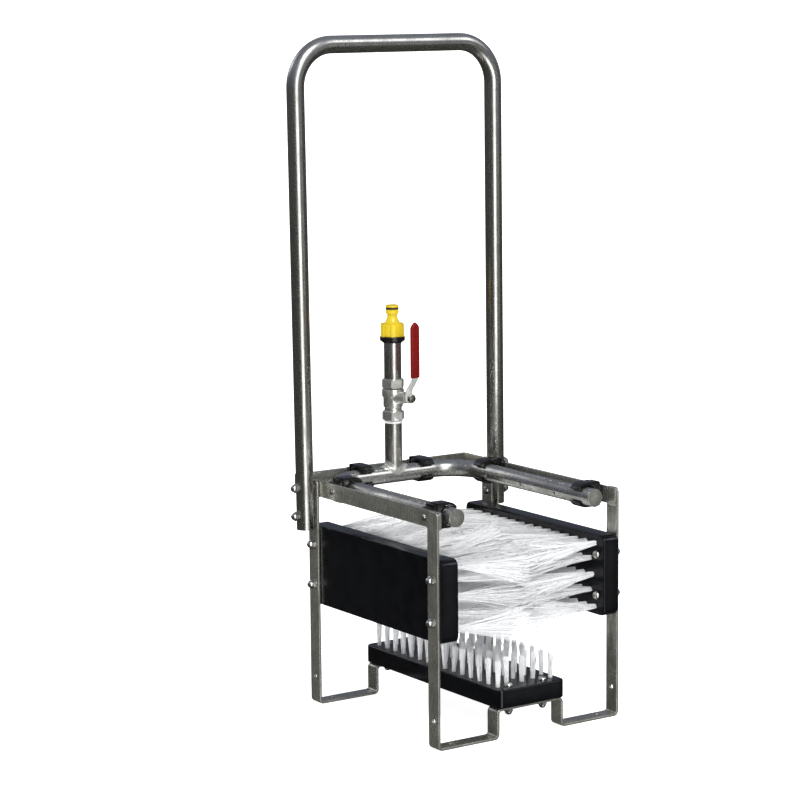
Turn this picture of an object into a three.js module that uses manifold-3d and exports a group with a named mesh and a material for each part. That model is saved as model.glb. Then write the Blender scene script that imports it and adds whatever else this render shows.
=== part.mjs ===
// Boot cleaner: a steel frame with two side brushes, a sole brush and a spray pipe fed through a ball valve.
// Lengths are millimetres. X runs across the frame, Y from front to back and Z up from the floor.
import * as THREE from 'three';
import { mergeVertices } from 'three/addons/utils/BufferGeometryUtils.js';
import Module from 'manifold-3d';

const wasm = await Module();
wasm.setup();

// Clearances: between pieces that touch, and how far a cutter runs past what it cuts
const gap = 0.3;
const overrun = 4;

// Flat bar that the leg frames and the top ring are made from
const barWidth = 20;
const barThick = 3;
const barBend = 3;
const legTopRound = 5;

// Frame
const frameWidth = 260;
const legPitch = 250;
const shelfUnder = 33;
const shelfWidth = 95;
const soleSpace = 35.7;
const topSpace = 55;
const ringOverhang = 46.5;
const footHoleInset = 24;
const legHoleHeight = 33.5;
const fixingHoleRadius = 2.8;

// Round pipe of the hoop, the spray pipe, the inlet and the outlet
const pipeRadius = 10.65;
const pipeWall = 2;

// Handle hoop
const hoopHeight = 801;
const hoopBend = 50;
const hoopSetBack = 5.5;
const hoopSpread = 2;
const hoopEndMargin = 17;
const hoopBoltOverBrush = 13;
const hoopBoltOverRail = 2;

// Spray pipe
const sprayFront = 5;
const sprayBend = 46;
const sprayHoleRadius = 1.4;
const sprayHoleShares = [0.22, 0.56, 0.9];
const sprayHoleDip = THREE.MathUtils.degToRad(13);
const capThick = 3;

// Pipe clips and their screws
const clipStand = 14;
const clipLength = 16;
const clipWall = 2.75;
const clipRise = 0.95;
const clipFootHeight = 20;
const clipFootStand = 4.35;
const clipGrooveStand = 1.8;
const clipGrooveWidth = 3;
const clipGrooveDepth = 1.6;
const clipMouth = THREE.MathUtils.degToRad(38);
const frontClipPlace = 30;
const clipBendMargin = 0.7;
const screwRadius = 2;
const screwHeadRadius = 4;
const screwHeadHeight = 2.2;
const screwDepth = 6.5;

// Brushes: three alike, each a block whose last slice carries the bristles
const brushOverhang = 14;
const brushWidth = 96;
const brushThick = 22;
const brushCorner = 8;
const sliceThick = 3;
const rowMargin = 10;
const tuftMargin = 16.5;
const sideTipMargin = 5.7;
const soleBristleLength = 30;
const sideStrandRootRadius = 1.9;
const sideStrandTipRadius = 1.4;
const soleStrandRootRadius = 2.6;
const soleStrandTipRadius = 3;
const strandOffset = 2.1;

// Bolts with dome nuts
const boltRadius = 3;
const boltClearance = 0.4;
const brushBoltPitch = 49;
const headRadius = 5;
const headHeight = 3.5;
const nutRadius = 5.6;
const nutHeight = 4.5;
const domeRadius = 4.6;
const domeHeight = 4;

// Ball valve
const riserHeight = 67;
const threadDepth = 10.4;
const socketFloor = 2;
const hexWall = 1.55;
const collarWall = 2.55;
const collarHeight = 9.7;
const barrelWall = 1.05;
const neckWall = 4.1;
const neckHeight = 4.4;
const valveFloor = 8.2;
const portRadius = 6.5;
const ballRadius = 10.2;
const bossFootMargin = 0.6;
const bossRadius = 6.6;
const bossRise = 8.6;
const stemRadius = 3;
const stemKeyWidth = 3;
const stemKeyDepth = 2.6;
const stemKeyHeight = 3;
const glandFlats = 11;
const glandHeight = 2.4;
const valveTurn = THREE.MathUtils.degToRad(-72);

// Lever with its sleeve and nut
const leverThick = 2.2;
const leverWidth = 11;
const leverFoot = 6.5;
const leverBend = 3;
const leverCrank = 9.7;
const leverCrankStart = 9;
const leverCrankEnd = 24.5;
const leverReach = 93.9;
const sleeveStart = 26;
const sleeveEdgeWall = 2.2;
const sleeveFaceWall = 1.8;
const sleeveTipHeight = 6;
const sleeveTipShare = 0.3;
const leverNutFlats = 10;
const leverNutHeight = 5;
const stemEnd = 2;

// Thread tape, outlet pipe and hose connector
const threadCut = 0.7;
const tapeHeight = 3.2;
const tapeThick = 0.6;
const outletShow = 44.3;
const outletHold = 17;
const ringNutHeight = 7.4;
const ringNutFlange = 5.4;
const ringNutWall = 4.45;
const ringNutFootWall = 1.65;
const connectorNutHeight = 15.7;
const connectorNutWall = 1.95;
const connectorRibReach = 1.9;
const connectorRibWidth = 5;
const connectorConeHeight = 6.6;
const connectorConeRadius = 10.2;
const connectorNeckHeight = 5.1;
const connectorNeckRadius = 6.3;
const connectorTipRadius = 7.9;
const connectorTipHeight = 2.9;
const connectorTipChamfer = 0.8;
const connectorGrooveHeight = 2.6;
const connectorGrooveRadius = 5.7;
const connectorCollarHeight = 5.3;
const connectorBore = 4.4;
const sealRadius = 1.1;
const washerThick = 1.8;

// Counts
const pipeSides = 16;
const turnedSides = 18;
const holeSides = 10;
const boltSides = 8;
const hexSides = 6;
const strandSides = 3;
const clipSteps = 6;
const cornerSteps = 3;
const bendSteps = 5;
const connectorRibs = 6;
const tuftsPerRow = 15;
const sideStrandsPerTuft = 2;
const soleStrandsPerTuft = 1;
const rowStartShares = [0, 1 / 2, 1 / 4, 1 / 2, 0];
const fanAlongShare = 1.02;
const fanAcrossShare = 1.12;

const quarter = Math.PI / 2;
const half = Math.PI;
const full = 2 * Math.PI;
const right = new THREE.Vector3(1, 0, 0);
const back = new THREE.Vector3(0, 1, 0);
const up = new THREE.Vector3(0, 0, 1);
const unit = new THREE.Vector3(1, 1, 1);
const sides = [['left', -1], ['right', 1]];
const levels = [['lower', -1], ['upper', 1]];

// Materials
const steel = new THREE.MeshStandardMaterial({ color: 0x8b8a80, roughness: 0.38, metalness: 1 });
const platedBrass = new THREE.MeshStandardMaterial({ color: 0xb9b4a6, roughness: 0.3, metalness: 1 });
const brightSteel = new THREE.MeshStandardMaterial({ color: 0xc4c4c0, roughness: 0.22, metalness: 1 });
const blackPlastic = new THREE.MeshStandardMaterial({ color: 0x14151a, roughness: 0.5, metalness: 0 });
const bristlePlastic = new THREE.MeshStandardMaterial({ color: 0xeef1f4, roughness: 0.4, metalness: 0 });
const redVinyl = new THREE.MeshStandardMaterial({ color: 0xb5191c, roughness: 0.35, metalness: 0 });
const yellowPlastic = new THREE.MeshStandardMaterial({ color: 0xf2cf12, roughness: 0.4, metalness: 0 });
const sealPlastic = new THREE.MeshStandardMaterial({ color: 0xf5f5f2, roughness: 0.6, metalness: 0 });
const blackRubber = new THREE.MeshStandardMaterial({ color: 0x101010, roughness: 0.7, metalness: 0 });

const model = new THREE.Group();
model.name = 'boot_cleaner';

function addPiece(name, solid, material, place = new THREE.Matrix4()) {
  const mesh = new THREE.Mesh(geometryOf(solid), material);
  mesh.name = name;
  mesh.applyMatrix4(place);
  model.add(mesh);
}

// Turn a geometry into a solid that can be joined and cut, and back again
function solidOf(geometry, place) {
  const bare = geometry.clone();
  bare.deleteAttribute('normal');
  bare.deleteAttribute('uv');
  if (place) bare.applyMatrix4(place);
  const welded = mergeVertices(bare);
  const vertProperties = new Float32Array(welded.attributes.position.array);
  const triVerts = new Uint32Array(welded.index.array);
  return new wasm.Manifold(new wasm.Mesh({ numProp: 3, vertProperties, triVerts }));
}

function geometryOf(solid) {
  const { vertProperties, triVerts } = solid.getMesh();
  const geometry = new THREE.BufferGeometry();
  geometry.setAttribute('position', new THREE.BufferAttribute(new Float32Array(vertProperties), 3));
  geometry.setIndex(new THREE.BufferAttribute(new Uint32Array(triVerts), 1));
  const faceted = geometry.toNonIndexed();
  faceted.computeVertexNormals();
  return faceted;
}

const placed = (solid, place) => solid.transform(place.elements);
const at = (x, y, z) => new THREE.Matrix4().makeTranslation(x, y, z);
const point = (x, y, z) => new THREE.Vector3(x, y, z);
const alongX = new THREE.Matrix4().makeRotationY(quarter);
const alongY = new THREE.Matrix4().makeRotationX(quarter);

function box(width, depth, height, x, y, z) {
  return solidOf(new THREE.BoxGeometry(width, depth, height), at(x, y, z));
}

// A rod or a blade between two points
function rod(from, to, radius, count, tipRadius = radius) {
  const reach = from.distanceTo(to);
  const middle = from.clone().lerp(to, 1 / 2);
  const turn = new THREE.Quaternion().setFromUnitVectors(back, to.clone().sub(from).normalize());
  const place = new THREE.Matrix4().compose(middle, turn, unit);
  return solidOf(new THREE.CylinderGeometry(tipRadius, radius, reach, count), place);
}

// A hole's cutter through a point, along a direction, reaching as far each way
function drill(centre, direction, reach, radius, count = holeSides) {
  const from = centre.clone().addScaledVector(direction, -reach);
  const to = centre.clone().addScaledVector(direction, reach);
  return rod(from, to, radius, count);
}

// A turned piece: its profile is a list of [radius, height] about +Z
function turned(profile, count = turnedSides) {
  const outline = profile.map(([radius, height]) => new THREE.Vector2(radius, height));
  const lathe = new THREE.LatheGeometry(outline, count);
  lathe.rotateX(quarter);
  return solidOf(lathe);
}

function disc(radius, low, high, count = turnedSides) {
  return turned([[0, low], [radius, low], [radius, high], [0, high]], count);
}

function tube(outer, inner, low, high, count = turnedSides) {
  return turned([[inner, low], [outer, low], [outer, high], [inner, high], [inner, low]], count);
}

const hexDisc = (flats, low, high) => disc(flats / 2 / Math.cos(half / hexSides), low, high, hexSides);

// Places along a bent route: straight runs with a round of the given radius at each corner
function bentRoute(corners, radius) {
  const places = [corners[0].clone()];
  const headings = [corners[1].clone().sub(corners[0]).normalize()];
  for (let bend = 1; bend < corners.length - 1; bend += 1) {
    const arriving = corners[bend].clone().sub(corners[bend - 1]).normalize();
    const leaving = corners[bend + 1].clone().sub(corners[bend]).normalize();
    const turn = arriving.angleTo(leaving);
    const start = corners[bend].clone().addScaledVector(arriving, -radius * Math.tan(turn / 2));
    const inward = leaving.clone().addScaledVector(arriving, -Math.cos(turn)).normalize();
    for (let step = 0; step <= bendSteps; step += 1) {
      const angle = (turn * step) / bendSteps;
      const place = start.clone().addScaledVector(arriving, radius * Math.sin(angle));
      places.push(place.addScaledVector(inward, radius * (1 - Math.cos(angle))));
      const heading = arriving.clone().multiplyScalar(Math.cos(angle));
      headings.push(heading.addScaledVector(inward, Math.sin(angle)));
    }
  }
  places.push(corners.at(-1).clone());
  headings.push(corners.at(-1).clone().sub(corners.at(-2)).normalize());
  return { places, headings };
}

// A curve that an extrusion follows through exactly these places
class RouteCurve extends THREE.Curve {
  constructor({ places, headings }) {
    super();
    this.places = places;
    this.headings = headings;
    this.runs = places.length - 1;
  }

  getPointAt(share) {
    return this.places[Math.round(share * this.runs)].clone();
  }

  getTangentAt(share) {
    return this.headings[Math.round(share * this.runs)].clone();
  }
}

function pipeAlong(corners, bendRadius, radius) {
  const route = new RouteCurve(bentRoute(corners, bendRadius));
  const section = new THREE.Shape();
  section.absarc(0, 0, radius, 0, full, false);
  const sweep = { steps: route.runs, extrudePath: route, curveSegments: pipeSides / 2, bevelEnabled: false };
  return solidOf(new THREE.ExtrudeGeometry(section, sweep));
}

// Outline of a bent strip, from the corners of its centre line
function stripShape(corners, thick, insideBend) {
  const flat = corners.map(([x, y]) => point(x, y, 0));
  const { places, headings } = bentRoute(flat, insideBend + thick / 2);
  const edge = (offset) => places.map((place, step) => {
    const { x, y } = headings[step];
    return new THREE.Vector2(place.x - y * offset, place.y + x * offset);
  });
  return new THREE.Shape([...edge(thick / 2), ...edge(-thick / 2).reverse()]);
}

function slab(shape, thick, curveSegments = cornerSteps) {
  return solidOf(new THREE.ExtrudeGeometry(shape, { depth: thick, bevelEnabled: false, curveSegments }));
}

// Places that several pieces share
const shelfTop = shelfUnder + barThick;
const soleFace = shelfTop + gap + brushThick;
const sideBrushMiddle = soleFace + soleBristleLength + soleSpace + brushWidth / 2;
const sideBrushTop = sideBrushMiddle + brushWidth / 2;
const frameHeight = sideBrushTop + topSpace;
const legOuter = frameWidth / 2;
const legInner = legOuter - barThick;
const railOuter = legInner - gap;
const railInner = railOuter - barThick;
const railMiddle = frameHeight - barWidth / 2;
const frontLegMiddle = barWidth / 2;
const rearLegMiddle = frontLegMiddle + legPitch;
const ringDepth = rearLegMiddle + ringOverhang;
const backRailInner = ringDepth - barThick;
const brushMiddle = frontLegMiddle + legPitch / 2;
const brushLength = legPitch + 2 * brushOverhang;
const sprayArm = railInner - clipStand - pipeRadius;
const sprayBack = backRailInner - clipStand - pipeRadius;
const clipFromBend = sprayBend + clipLength / 2 + clipBendMargin;
const rearClipPlace = sprayBack - clipFromBend;
const backClipPlace = sprayArm - clipFromBend;
const hoopArm = legOuter + gap + pipeRadius;
const hoopBoltHeights = [sideBrushTop + hoopBoltOverBrush, railMiddle + hoopBoltOverRail];
const boltHole = boltRadius + boltClearance;
const screwHole = screwRadius + boltClearance;
const pipeBore = pipeRadius - pipeWall;
const socketRadius = pipeRadius + gap;
const inletHeight = railMiddle + riserHeight;

// Leg frames: one flat bar each, bent into two legs, two feet and a shelf
function legFrame(middle, takesHoop) {
  const halfRoute = [
    [legOuter - barThick / 2, frameHeight],
    [legOuter - barThick / 2, barThick / 2],
    [shelfWidth / 2 - barThick / 2, barThick / 2],
    [shelfWidth / 2 - barThick / 2, shelfUnder + barThick / 2],
  ];
  const otherHalf = halfRoute.map(([x, z]) => [-x, z]).reverse();
  const outline = stripShape([...halfRoute, ...otherHalf], barThick, barBend);
  let frame = placed(slab(outline, barWidth), at(0, middle + barWidth / 2, 0).multiply(alongY));

  const legSide = new THREE.Shape();
  legSide.moveTo(0, -overrun);
  legSide.lineTo(barWidth, -overrun);
  legSide.lineTo(barWidth, frameHeight - legTopRound);
  legSide.absarc(barWidth - legTopRound, frameHeight - legTopRound, legTopRound, 0, quarter, false);
  legSide.absarc(legTopRound, frameHeight - legTopRound, legTopRound, quarter, half, false);
  const across = new THREE.Matrix4().makeBasis(back, up, right);
  across.setPosition(-legOuter - overrun, middle - barWidth / 2, 0);
  frame = frame.intersect(placed(slab(legSide, frameWidth + 2 * overrun), across));

  for (const [, side] of sides) {
    const footHole = point(side * (legOuter - footHoleInset), middle, 0);
    const legHole = point(side * legOuter, middle, legHoleHeight);
    const soleBolt = point((side * brushBoltPitch) / 2, middle, shelfTop);
    frame = frame.subtract(drill(footHole, up, overrun, fixingHoleRadius));
    frame = frame.subtract(drill(legHole, right, overrun, fixingHoleRadius));
    frame = frame.subtract(drill(soleBolt, up, overrun, boltHole));
    const brushBoltHeights = levels.map(([, level]) => sideBrushMiddle + (level * brushBoltPitch) / 2);
    for (const height of [...brushBoltHeights, ...(takesHoop ? hoopBoltHeights : [])]) {
      frame = frame.subtract(drill(point(side * legOuter, middle, height), right, overrun, boltHole));
    }
  }
  return frame;
}

addPiece('front_leg_frame', legFrame(frontLegMiddle, false), steel);
addPiece('rear_leg_frame', legFrame(rearLegMiddle, true), steel);

// Top ring: two side rails and a back rail, on edge inside the legs
for (const [name, side] of sides) {
  const railLength = backRailInner - gap;
  const middle = side * (railInner + barThick / 2);
  let rail = box(barThick, railLength, barWidth, middle, railLength / 2, railMiddle);
  for (const place of [frontClipPlace, rearClipPlace]) {
    rail = rail.subtract(drill(point(middle, place, railMiddle), right, overrun, screwHole));
  }
  const hoopBolt = point(middle, rearLegMiddle, hoopBoltHeights[1]);
  rail = rail.subtract(drill(hoopBolt, right, overrun, boltHole));
  addPiece(`${name}_rail`, rail, steel);
}

let backRail = box(2 * railOuter, barThick, barWidth, 0, ringDepth - barThick / 2, railMiddle);
for (const [, side] of sides) {
  const clipScrew = point(side * backClipPlace, ringDepth, railMiddle);
  backRail = backRail.subtract(drill(clipScrew, back, overrun, screwHole));
}
addPiece('back_rail', backRail, steel);

// Handle hoop: one bent pipe outside the rear legs, open at its lower ends
function hoopRoute(extra) {
  const top = hoopHeight - pipeRadius;
  const low = hoopBoltHeights[0] - hoopEndMargin - extra;
  const lean = (z) => rearLegMiddle + (hoopSetBack * (z - railMiddle)) / (top - railMiddle);
  const arm = hoopArm;
  const shoulder = hoopArm + hoopSpread;
  return [[-arm, low], [-shoulder, top], [shoulder, top], [arm, low]].map(([x, z]) => point(x, lean(z), z));
}

const hoopInside = pipeAlong(hoopRoute(overrun), hoopBend, pipeBore);
let hoop = pipeAlong(hoopRoute(0), hoopBend, pipeRadius).subtract(hoopInside);
for (const [, side] of sides) {
  for (const height of hoopBoltHeights) {
    const bolt = point(side * hoopArm, rearLegMiddle, height);
    hoop = hoop.subtract(drill(bolt, right, pipeRadius + overrun, boltHole));
  }
}
addPiece('handle_hoop', hoop, steel);

// Spray pipe: a U inside the ring, with holes that face the boot and a disc closing each front end
const armFront = sprayFront + capThick + gap;

function sprayRoute(front) {
  const corners = [[-sprayArm, front], [-sprayArm, sprayBack], [sprayArm, sprayBack], [sprayArm, front]];
  return corners.map(([x, y]) => point(x, y, railMiddle));
}

const sprayOutside = pipeAlong(sprayRoute(armFront), sprayBend, pipeRadius);
let spray = sprayOutside.subtract(pipeAlong(sprayRoute(armFront - overrun), sprayBend, pipeBore));
for (const [, side] of sides) {
  for (const share of sprayHoleShares) {
    const along = frontClipPlace + share * (rearClipPlace - frontClipPlace);
    const centre = point(side * sprayArm, along, railMiddle);
    const outlet = point(-side * Math.cos(sprayHoleDip), 0, -Math.sin(sprayHoleDip));
    const mouth = centre.clone().addScaledVector(outlet, pipeRadius + overrun);
    spray = spray.subtract(rod(centre, mouth, sprayHoleRadius, hexSides));
  }
}
const branch = rod(point(0, sprayBack, railMiddle), point(0, sprayBack, inletHeight), portRadius, holeSides);
addPiece('spray_pipe', spray.subtract(branch), steel);

for (const [name, side] of sides) {
  const place = at(side * sprayArm, sprayFront + capThick, railMiddle).multiply(alongY);
  addPiece(`${name}_pipe_cap`, disc(pipeRadius, 0, capThick), steel, place);
}

// Inlet riser: its foot is cut to sit on the spray pipe
const riserBlank = tube(pipeRadius, pipeBore, railMiddle, inletHeight + threadDepth);
const saddle = pipeAlong(sprayRoute(armFront), sprayBend, pipeRadius + gap);
const threadRadius = pipeRadius - threadCut;
const threadFoot = inletHeight - tapeHeight;
const threadRing = tube(pipeRadius + overrun, threadRadius, threadFoot, inletHeight + threadDepth + overrun);
const riser = placed(riserBlank.subtract(threadRing), at(0, sprayBack, 0)).subtract(saddle);
addPiece('inlet_riser', riser, steel);

const tapeInside = threadRadius + gap;
const tape = tube(tapeInside + tapeThick, tapeInside, threadFoot + gap, inletHeight - gap);
addPiece('thread_tape', tape, sealPlastic, at(0, sprayBack, 0));

// Pipe clips, drawn with the pipe along Z and the foot towards +X: the pipe rests low in its bore
const clipFoot = clipStand + pipeRadius - gap;
const clipBore = socketRadius + clipRise;
const clipOuter = clipBore + clipWall;
const clipBack = clipFoot - clipFootStand;
const clipGroove = clipBack - clipGrooveStand - clipGrooveWidth / 2;

function clipShape() {
  const mouthAngle = half - clipMouth;
  const shape = new THREE.Shape();
  shape.moveTo(clipFoot, -clipFootHeight / 2);
  shape.lineTo(clipFoot, clipFootHeight / 2);
  shape.lineTo(clipBack, clipFootHeight / 2);
  shape.lineTo(clipBack, clipOuter);
  shape.absarc(0, 0, clipOuter, quarter, mouthAngle, false);
  shape.absarc(0, 0, clipBore, mouthAngle, -mouthAngle, true);
  shape.absarc(0, 0, clipOuter, -mouthAngle, -quarter, false);
  shape.lineTo(clipBack, -clipOuter);
  shape.lineTo(clipBack, -clipFootHeight / 2);
  return shape;
}

let clipBlank = placed(slab(clipShape(), clipLength, clipSteps), at(0, 0, -clipLength / 2));
for (const [, end] of levels) {
  const across = box(clipGrooveWidth, 2 * clipGrooveDepth, 2 * clipLength, clipGroove, end * clipOuter, 0);
  const upward = box(clipGrooveWidth, 3 * clipOuter, 2 * clipGrooveDepth, clipGroove, 0, (end * clipLength) / 2);
  clipBlank = clipBlank.subtract(across).subtract(upward);
}
const clipHole = drill(point(clipFoot, 0, 0), right, screwDepth + gap, screwHole);
const clip = placed(clipBlank, at(0, clipRise, 0)).subtract(clipHole);
const screwSeat = clipFoot + gap + barThick;
const screwPoint = -barThick - gap - screwDepth;
const screw = turned([
  [0, screwPoint],
  [screwRadius, screwPoint],
  [screwRadius, gap],
  [screwHeadRadius, gap],
  [screwHeadRadius, gap + screwHeadHeight / 2],
  [screwHeadRadius / 2, gap + screwHeadHeight],
  [0, gap + screwHeadHeight],
], boltSides);

function addClip(name, towards, x, y) {
  const place = new THREE.Matrix4().makeBasis(towards, up, towards.clone().cross(up));
  place.setPosition(x, y, railMiddle);
  addPiece(`${name}_clip`, clip, blackPlastic, place);
  addPiece(`${name}_clip_screw`, placed(screw, at(screwSeat, 0, 0).multiply(alongX)), brightSteel, place);
}

for (const [name, side] of sides) {
  const outward = point(side, 0, 0);
  addClip(`${name}_front`, outward, side * sprayArm, frontClipPlace);
  addClip(`${name}_rear`, outward, side * sprayArm, rearClipPlace);
  addClip(`back_${name}`, back, side * backClipPlace, sprayBack);
}

// A bolt along +Z: the head rests on the face at zero and the dome nut lies beyond the grip
function domeNutBolt(grip) {
  const nutFace = -grip - gap;
  const domeFoot = nutFace - nutHeight;
  const shank = turned([
    [0, domeFoot],
    [boltRadius, domeFoot],
    [boltRadius, gap],
    [headRadius, gap],
    [headRadius - headHeight / 2, gap + headHeight],
    [0, gap + headHeight],
  ], boltSides);
  const nut = disc(nutRadius, domeFoot, nutFace, hexSides);
  const dome = turned([
    [0, domeFoot - domeHeight],
    [domeRadius / 2, domeFoot - (3 * domeHeight) / 4],
    [domeRadius, domeFoot],
    [domeRadius, domeFoot + nutHeight / 2],
    [0, domeFoot + nutHeight / 2],
  ], boltSides);
  return shank.add(nut).add(dome);
}

// Brushes, drawn with their length along X, rows across Y, and bristles up from the face at zero
function roundedRectangle(width, height, radius) {
  const shape = new THREE.Shape();
  shape.absarc(width / 2 - radius, height / 2 - radius, radius, 0, quarter, false);
  shape.absarc(radius - width / 2, height / 2 - radius, radius, quarter, half, false);
  shape.absarc(radius - width / 2, radius - height / 2, radius, half, half + quarter, false);
  shape.absarc(width / 2 - radius, radius - height / 2, radius, half + quarter, full, false);
  return shape;
}

const brushBoltPlaces = [];
for (const [, side] of sides) {
  for (const [, level] of levels) {
    brushBoltPlaces.push(point((side * legPitch) / 2, (level * brushBoltPitch) / 2, 0));
  }
}

function brushSlab(low, thick) {
  let blank = placed(slab(roundedRectangle(brushLength, brushWidth, brushCorner), thick), at(0, 0, low));
  for (const place of brushBoltPlaces) {
    blank = blank.subtract(drill(place, up, brushThick + overrun, boltHole));
  }
  return blank;
}

function bristles(length, strandsPerTuft, [rootRadius, tipRadius]) {
  const strands = [];
  const middleTuft = (tuftsPerRow - 1) / 2;
  const middleRow = (rowStartShares.length - 1) / 2;
  const tuftPitch = (brushLength / 2 - tuftMargin) / middleTuft;
  const rowPitch = (brushWidth / 2 - rowMargin) / middleRow;
  rowStartShares.forEach((share, row) => {
    const across = (row - middleRow) * rowPitch;
    const tufts = share > 0 ? tuftsPerRow - 1 : tuftsPerRow;
    for (let tuft = 0; tuft < tufts; tuft += 1) {
      const along = (tuft + share - middleTuft) * tuftPitch;
      for (let strand = 0; strand < strandsPerTuft; strand += 1) {
        const offset = (2 * strand - strandsPerTuft + 1) * strandOffset;
        const root = point(along + offset, across, -sliceThick / 2);
        const tip = point((along + 2 * offset) * fanAlongShare, across * fanAcrossShare, length);
        strands.push(rod(root, tip, rootRadius, strandSides, tipRadius));
      }
    }
  });
  return brushSlab(-sliceThick, sliceThick).add(wasm.Manifold.union(strands));
}

const brushBlock = brushSlab(-brushThick, brushThick - sliceThick - gap);
const brushBolt = domeNutBolt(brushThick + gap + barThick);

function addBrush(name, sprung, place, boltLevel) {
  addPiece(`${name}_brush_block`, brushBlock, blackPlastic, place);
  addPiece(`${name}_bristles`, sprung, bristlePlastic, place);
  for (const spot of brushBoltPlaces) {
    const boltPlace = place.clone().multiply(at(...spot));
    const seat = new THREE.Vector3().setFromMatrixPosition(boltPlace);
    const end = seat.y < brushMiddle ? 'front' : 'rear';
    addPiece(`${name}_brush_${end}_${boltLevel(seat)}_bolt`, brushBolt, brightSteel, boltPlace);
  }
}

const sideStrand = [sideStrandRootRadius, sideStrandTipRadius];
const soleStrand = [soleStrandRootRadius, soleStrandTipRadius];
const sideFace = legInner - gap - brushThick;
const sideBristles = bristles(sideFace - sideTipMargin, sideStrandsPerTuft, sideStrand);
const soleBristles = bristles(soleBristleLength, soleStrandsPerTuft, soleStrand);
for (const [name, side] of sides) {
  const place = new THREE.Matrix4().makeBasis(back, point(0, 0, -side), point(-side, 0, 0));
  place.setPosition(side * sideFace, brushMiddle, sideBrushMiddle);
  addBrush(name, sideBristles, place, (seat) => (seat.z < sideBrushMiddle ? 'lower' : 'upper'));
}

const solePlace = new THREE.Matrix4().makeBasis(back, point(-1, 0, 0), up);
solePlace.setPosition(0, brushMiddle, soleFace);
addBrush('sole', soleBristles, solePlace, (seat) => (seat.x < 0 ? 'left' : 'right'));

// Hoop bolts: dome nuts outside the hoop, heads inside the leg or, higher up, inside the rail
for (const [name, side] of sides) {
  const seats = { lower: legInner, upper: railInner };
  Object.entries(seats).forEach(([level, seat], index) => {
    const place = at(side * seat, rearLegMiddle, hoopBoltHeights[index]);
    place.multiply(new THREE.Matrix4().makeRotationY(-side * quarter));
    addPiece(`${name}_hoop_${level}_bolt`, domeNutBolt(hoopArm + pipeRadius - seat), brightSteel, place);
  });
}

// Ball valve, drawn about the ball's centre with the stem along +X, then turned to the front right
const hexHeight = threadDepth + socketFloor;
const hexFlats = 2 * (socketRadius + hexWall);
const barrelRadius = socketRadius + barrelWall;
const bossReach = barrelRadius + bossRise;
const cavityRadius = ballRadius + gap;
const valveFoot = -ballRadius - valveFloor - gap - threadDepth;
const bodyHexTop = valveFoot + hexHeight;
const endHexFoot = ballRadius + gap;
const valveEnd = endHexFoot + hexHeight;
const seatBack = endHexFoot - 3 * gap;
const valvePlace = at(0, sprayBack, inletHeight - valveFoot);
valvePlace.multiply(new THREE.Matrix4().makeRotationZ(valveTurn));
const onStem = (solid) => placed(solid, alongX);

// Hexagon with a corner towards the stem
const cornerToStem = new THREE.Matrix4().makeRotationZ(half / hexSides);
const valveHex = (low, high) => placed(hexDisc(hexFlats, low, high), cornerToStem);

function valveBody() {
  const barrelFoot = bodyHexTop + neckHeight;
  const barrelTop = endHexFoot - gap;
  const foot = ballRadius - bossFootMargin;
  const boss = turned([[0, 0], [foot, 0], [foot, ballRadius], [bossRadius, bossReach], [0, bossReach]]);
  let body = valveHex(valveFoot, bodyHexTop);
  body = body.add(disc(portRadius + neckWall, bodyHexTop - gap, barrelFoot));
  body = body.add(disc(barrelRadius, barrelFoot, barrelTop));
  body = body.add(disc(socketRadius + collarWall, barrelTop - collarHeight, barrelTop));
  body = body.add(onStem(boss));
  body = body.subtract(disc(socketRadius, valveFoot - overrun, valveFoot + threadDepth + gap));
  body = body.subtract(disc(portRadius, valveFoot, 0));
  body = body.subtract(disc(cavityRadius, -ballRadius, valveEnd));
  return body.subtract(onStem(disc(stemRadius + gap, 0, bossReach + overrun, holeSides)));
}

function valveEndPiece() {
  let piece = valveHex(endHexFoot, valveEnd);
  piece = piece.add(disc(cavityRadius - gap, endHexFoot - 2 * gap, endHexFoot + gap));
  piece = piece.subtract(disc(portRadius, 0, valveEnd));
  return piece.subtract(disc(socketRadius, valveEnd - threadDepth, valveEnd + overrun));
}

// Ball seat: a ring whose inner face is a cone just clear of the ball
function ballSeat() {
  const clear = ballRadius + 2 * gap;
  const outer = cavityRadius - gap;
  const face = Math.sqrt(clear ** 2 - portRadius ** 2);
  const rim = Math.sqrt(clear ** 2 - outer ** 2);
  const start = [portRadius, face];
  return turned([start, [outer, rim], [outer, seatBack], [portRadius, seatBack], start]);
}

function ball() {
  const steps = turnedSides / 2;
  const profile = Array.from({ length: steps + 1 }, (_, step) => {
    const angle = (half * step) / steps - quarter;
    return [step === 0 || step === steps ? 0 : ballRadius * Math.cos(angle), ballRadius * Math.sin(angle)];
  });
  const slotDepth = stemKeyDepth + gap;
  const slotWidth = stemKeyWidth + 2 * gap;
  const slot = box(2 * slotDepth, slotWidth, 2 * ballRadius, ballRadius, 0, 0);
  return turned(profile).subtract(disc(portRadius, -ballRadius, ballRadius)).subtract(slot);
}

const leverFace = bossReach + gap + glandHeight + gap;
const leverNutFace = leverFace + leverThick + gap;
const stemTip = leverNutFace + leverNutHeight + stemEnd;
const stemFoot = ballRadius + gap;

function stem() {
  const shaft = onStem(disc(stemRadius, stemFoot, stemTip, holeSides));
  return shaft.add(box(2 * stemKeyDepth, stemKeyWidth, stemKeyHeight, stemFoot, 0, 0));
}

// Lever: a strip that lies against the gland, steps outwards and runs up beside the outlet
function lever() {
  const inner = leverFace + leverThick / 2;
  const outer = inner + leverCrank;
  const stripTop = leverReach - sleeveTipHeight - gap;
  const route = [[inner, -leverFoot], [inner, leverCrankStart], [outer, leverCrankEnd], [outer, stripTop]];
  const blank = slab(stripShape(route, leverThick, leverBend), leverWidth);
  const strip = placed(blank, at(0, leverWidth / 2, 0).multiply(alongY));
  const stemHole = disc(stemRadius + gap, leverFace - overrun, leverNutFace + overrun, holeSides);
  return strip.subtract(onStem(stemHole));
}

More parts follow.
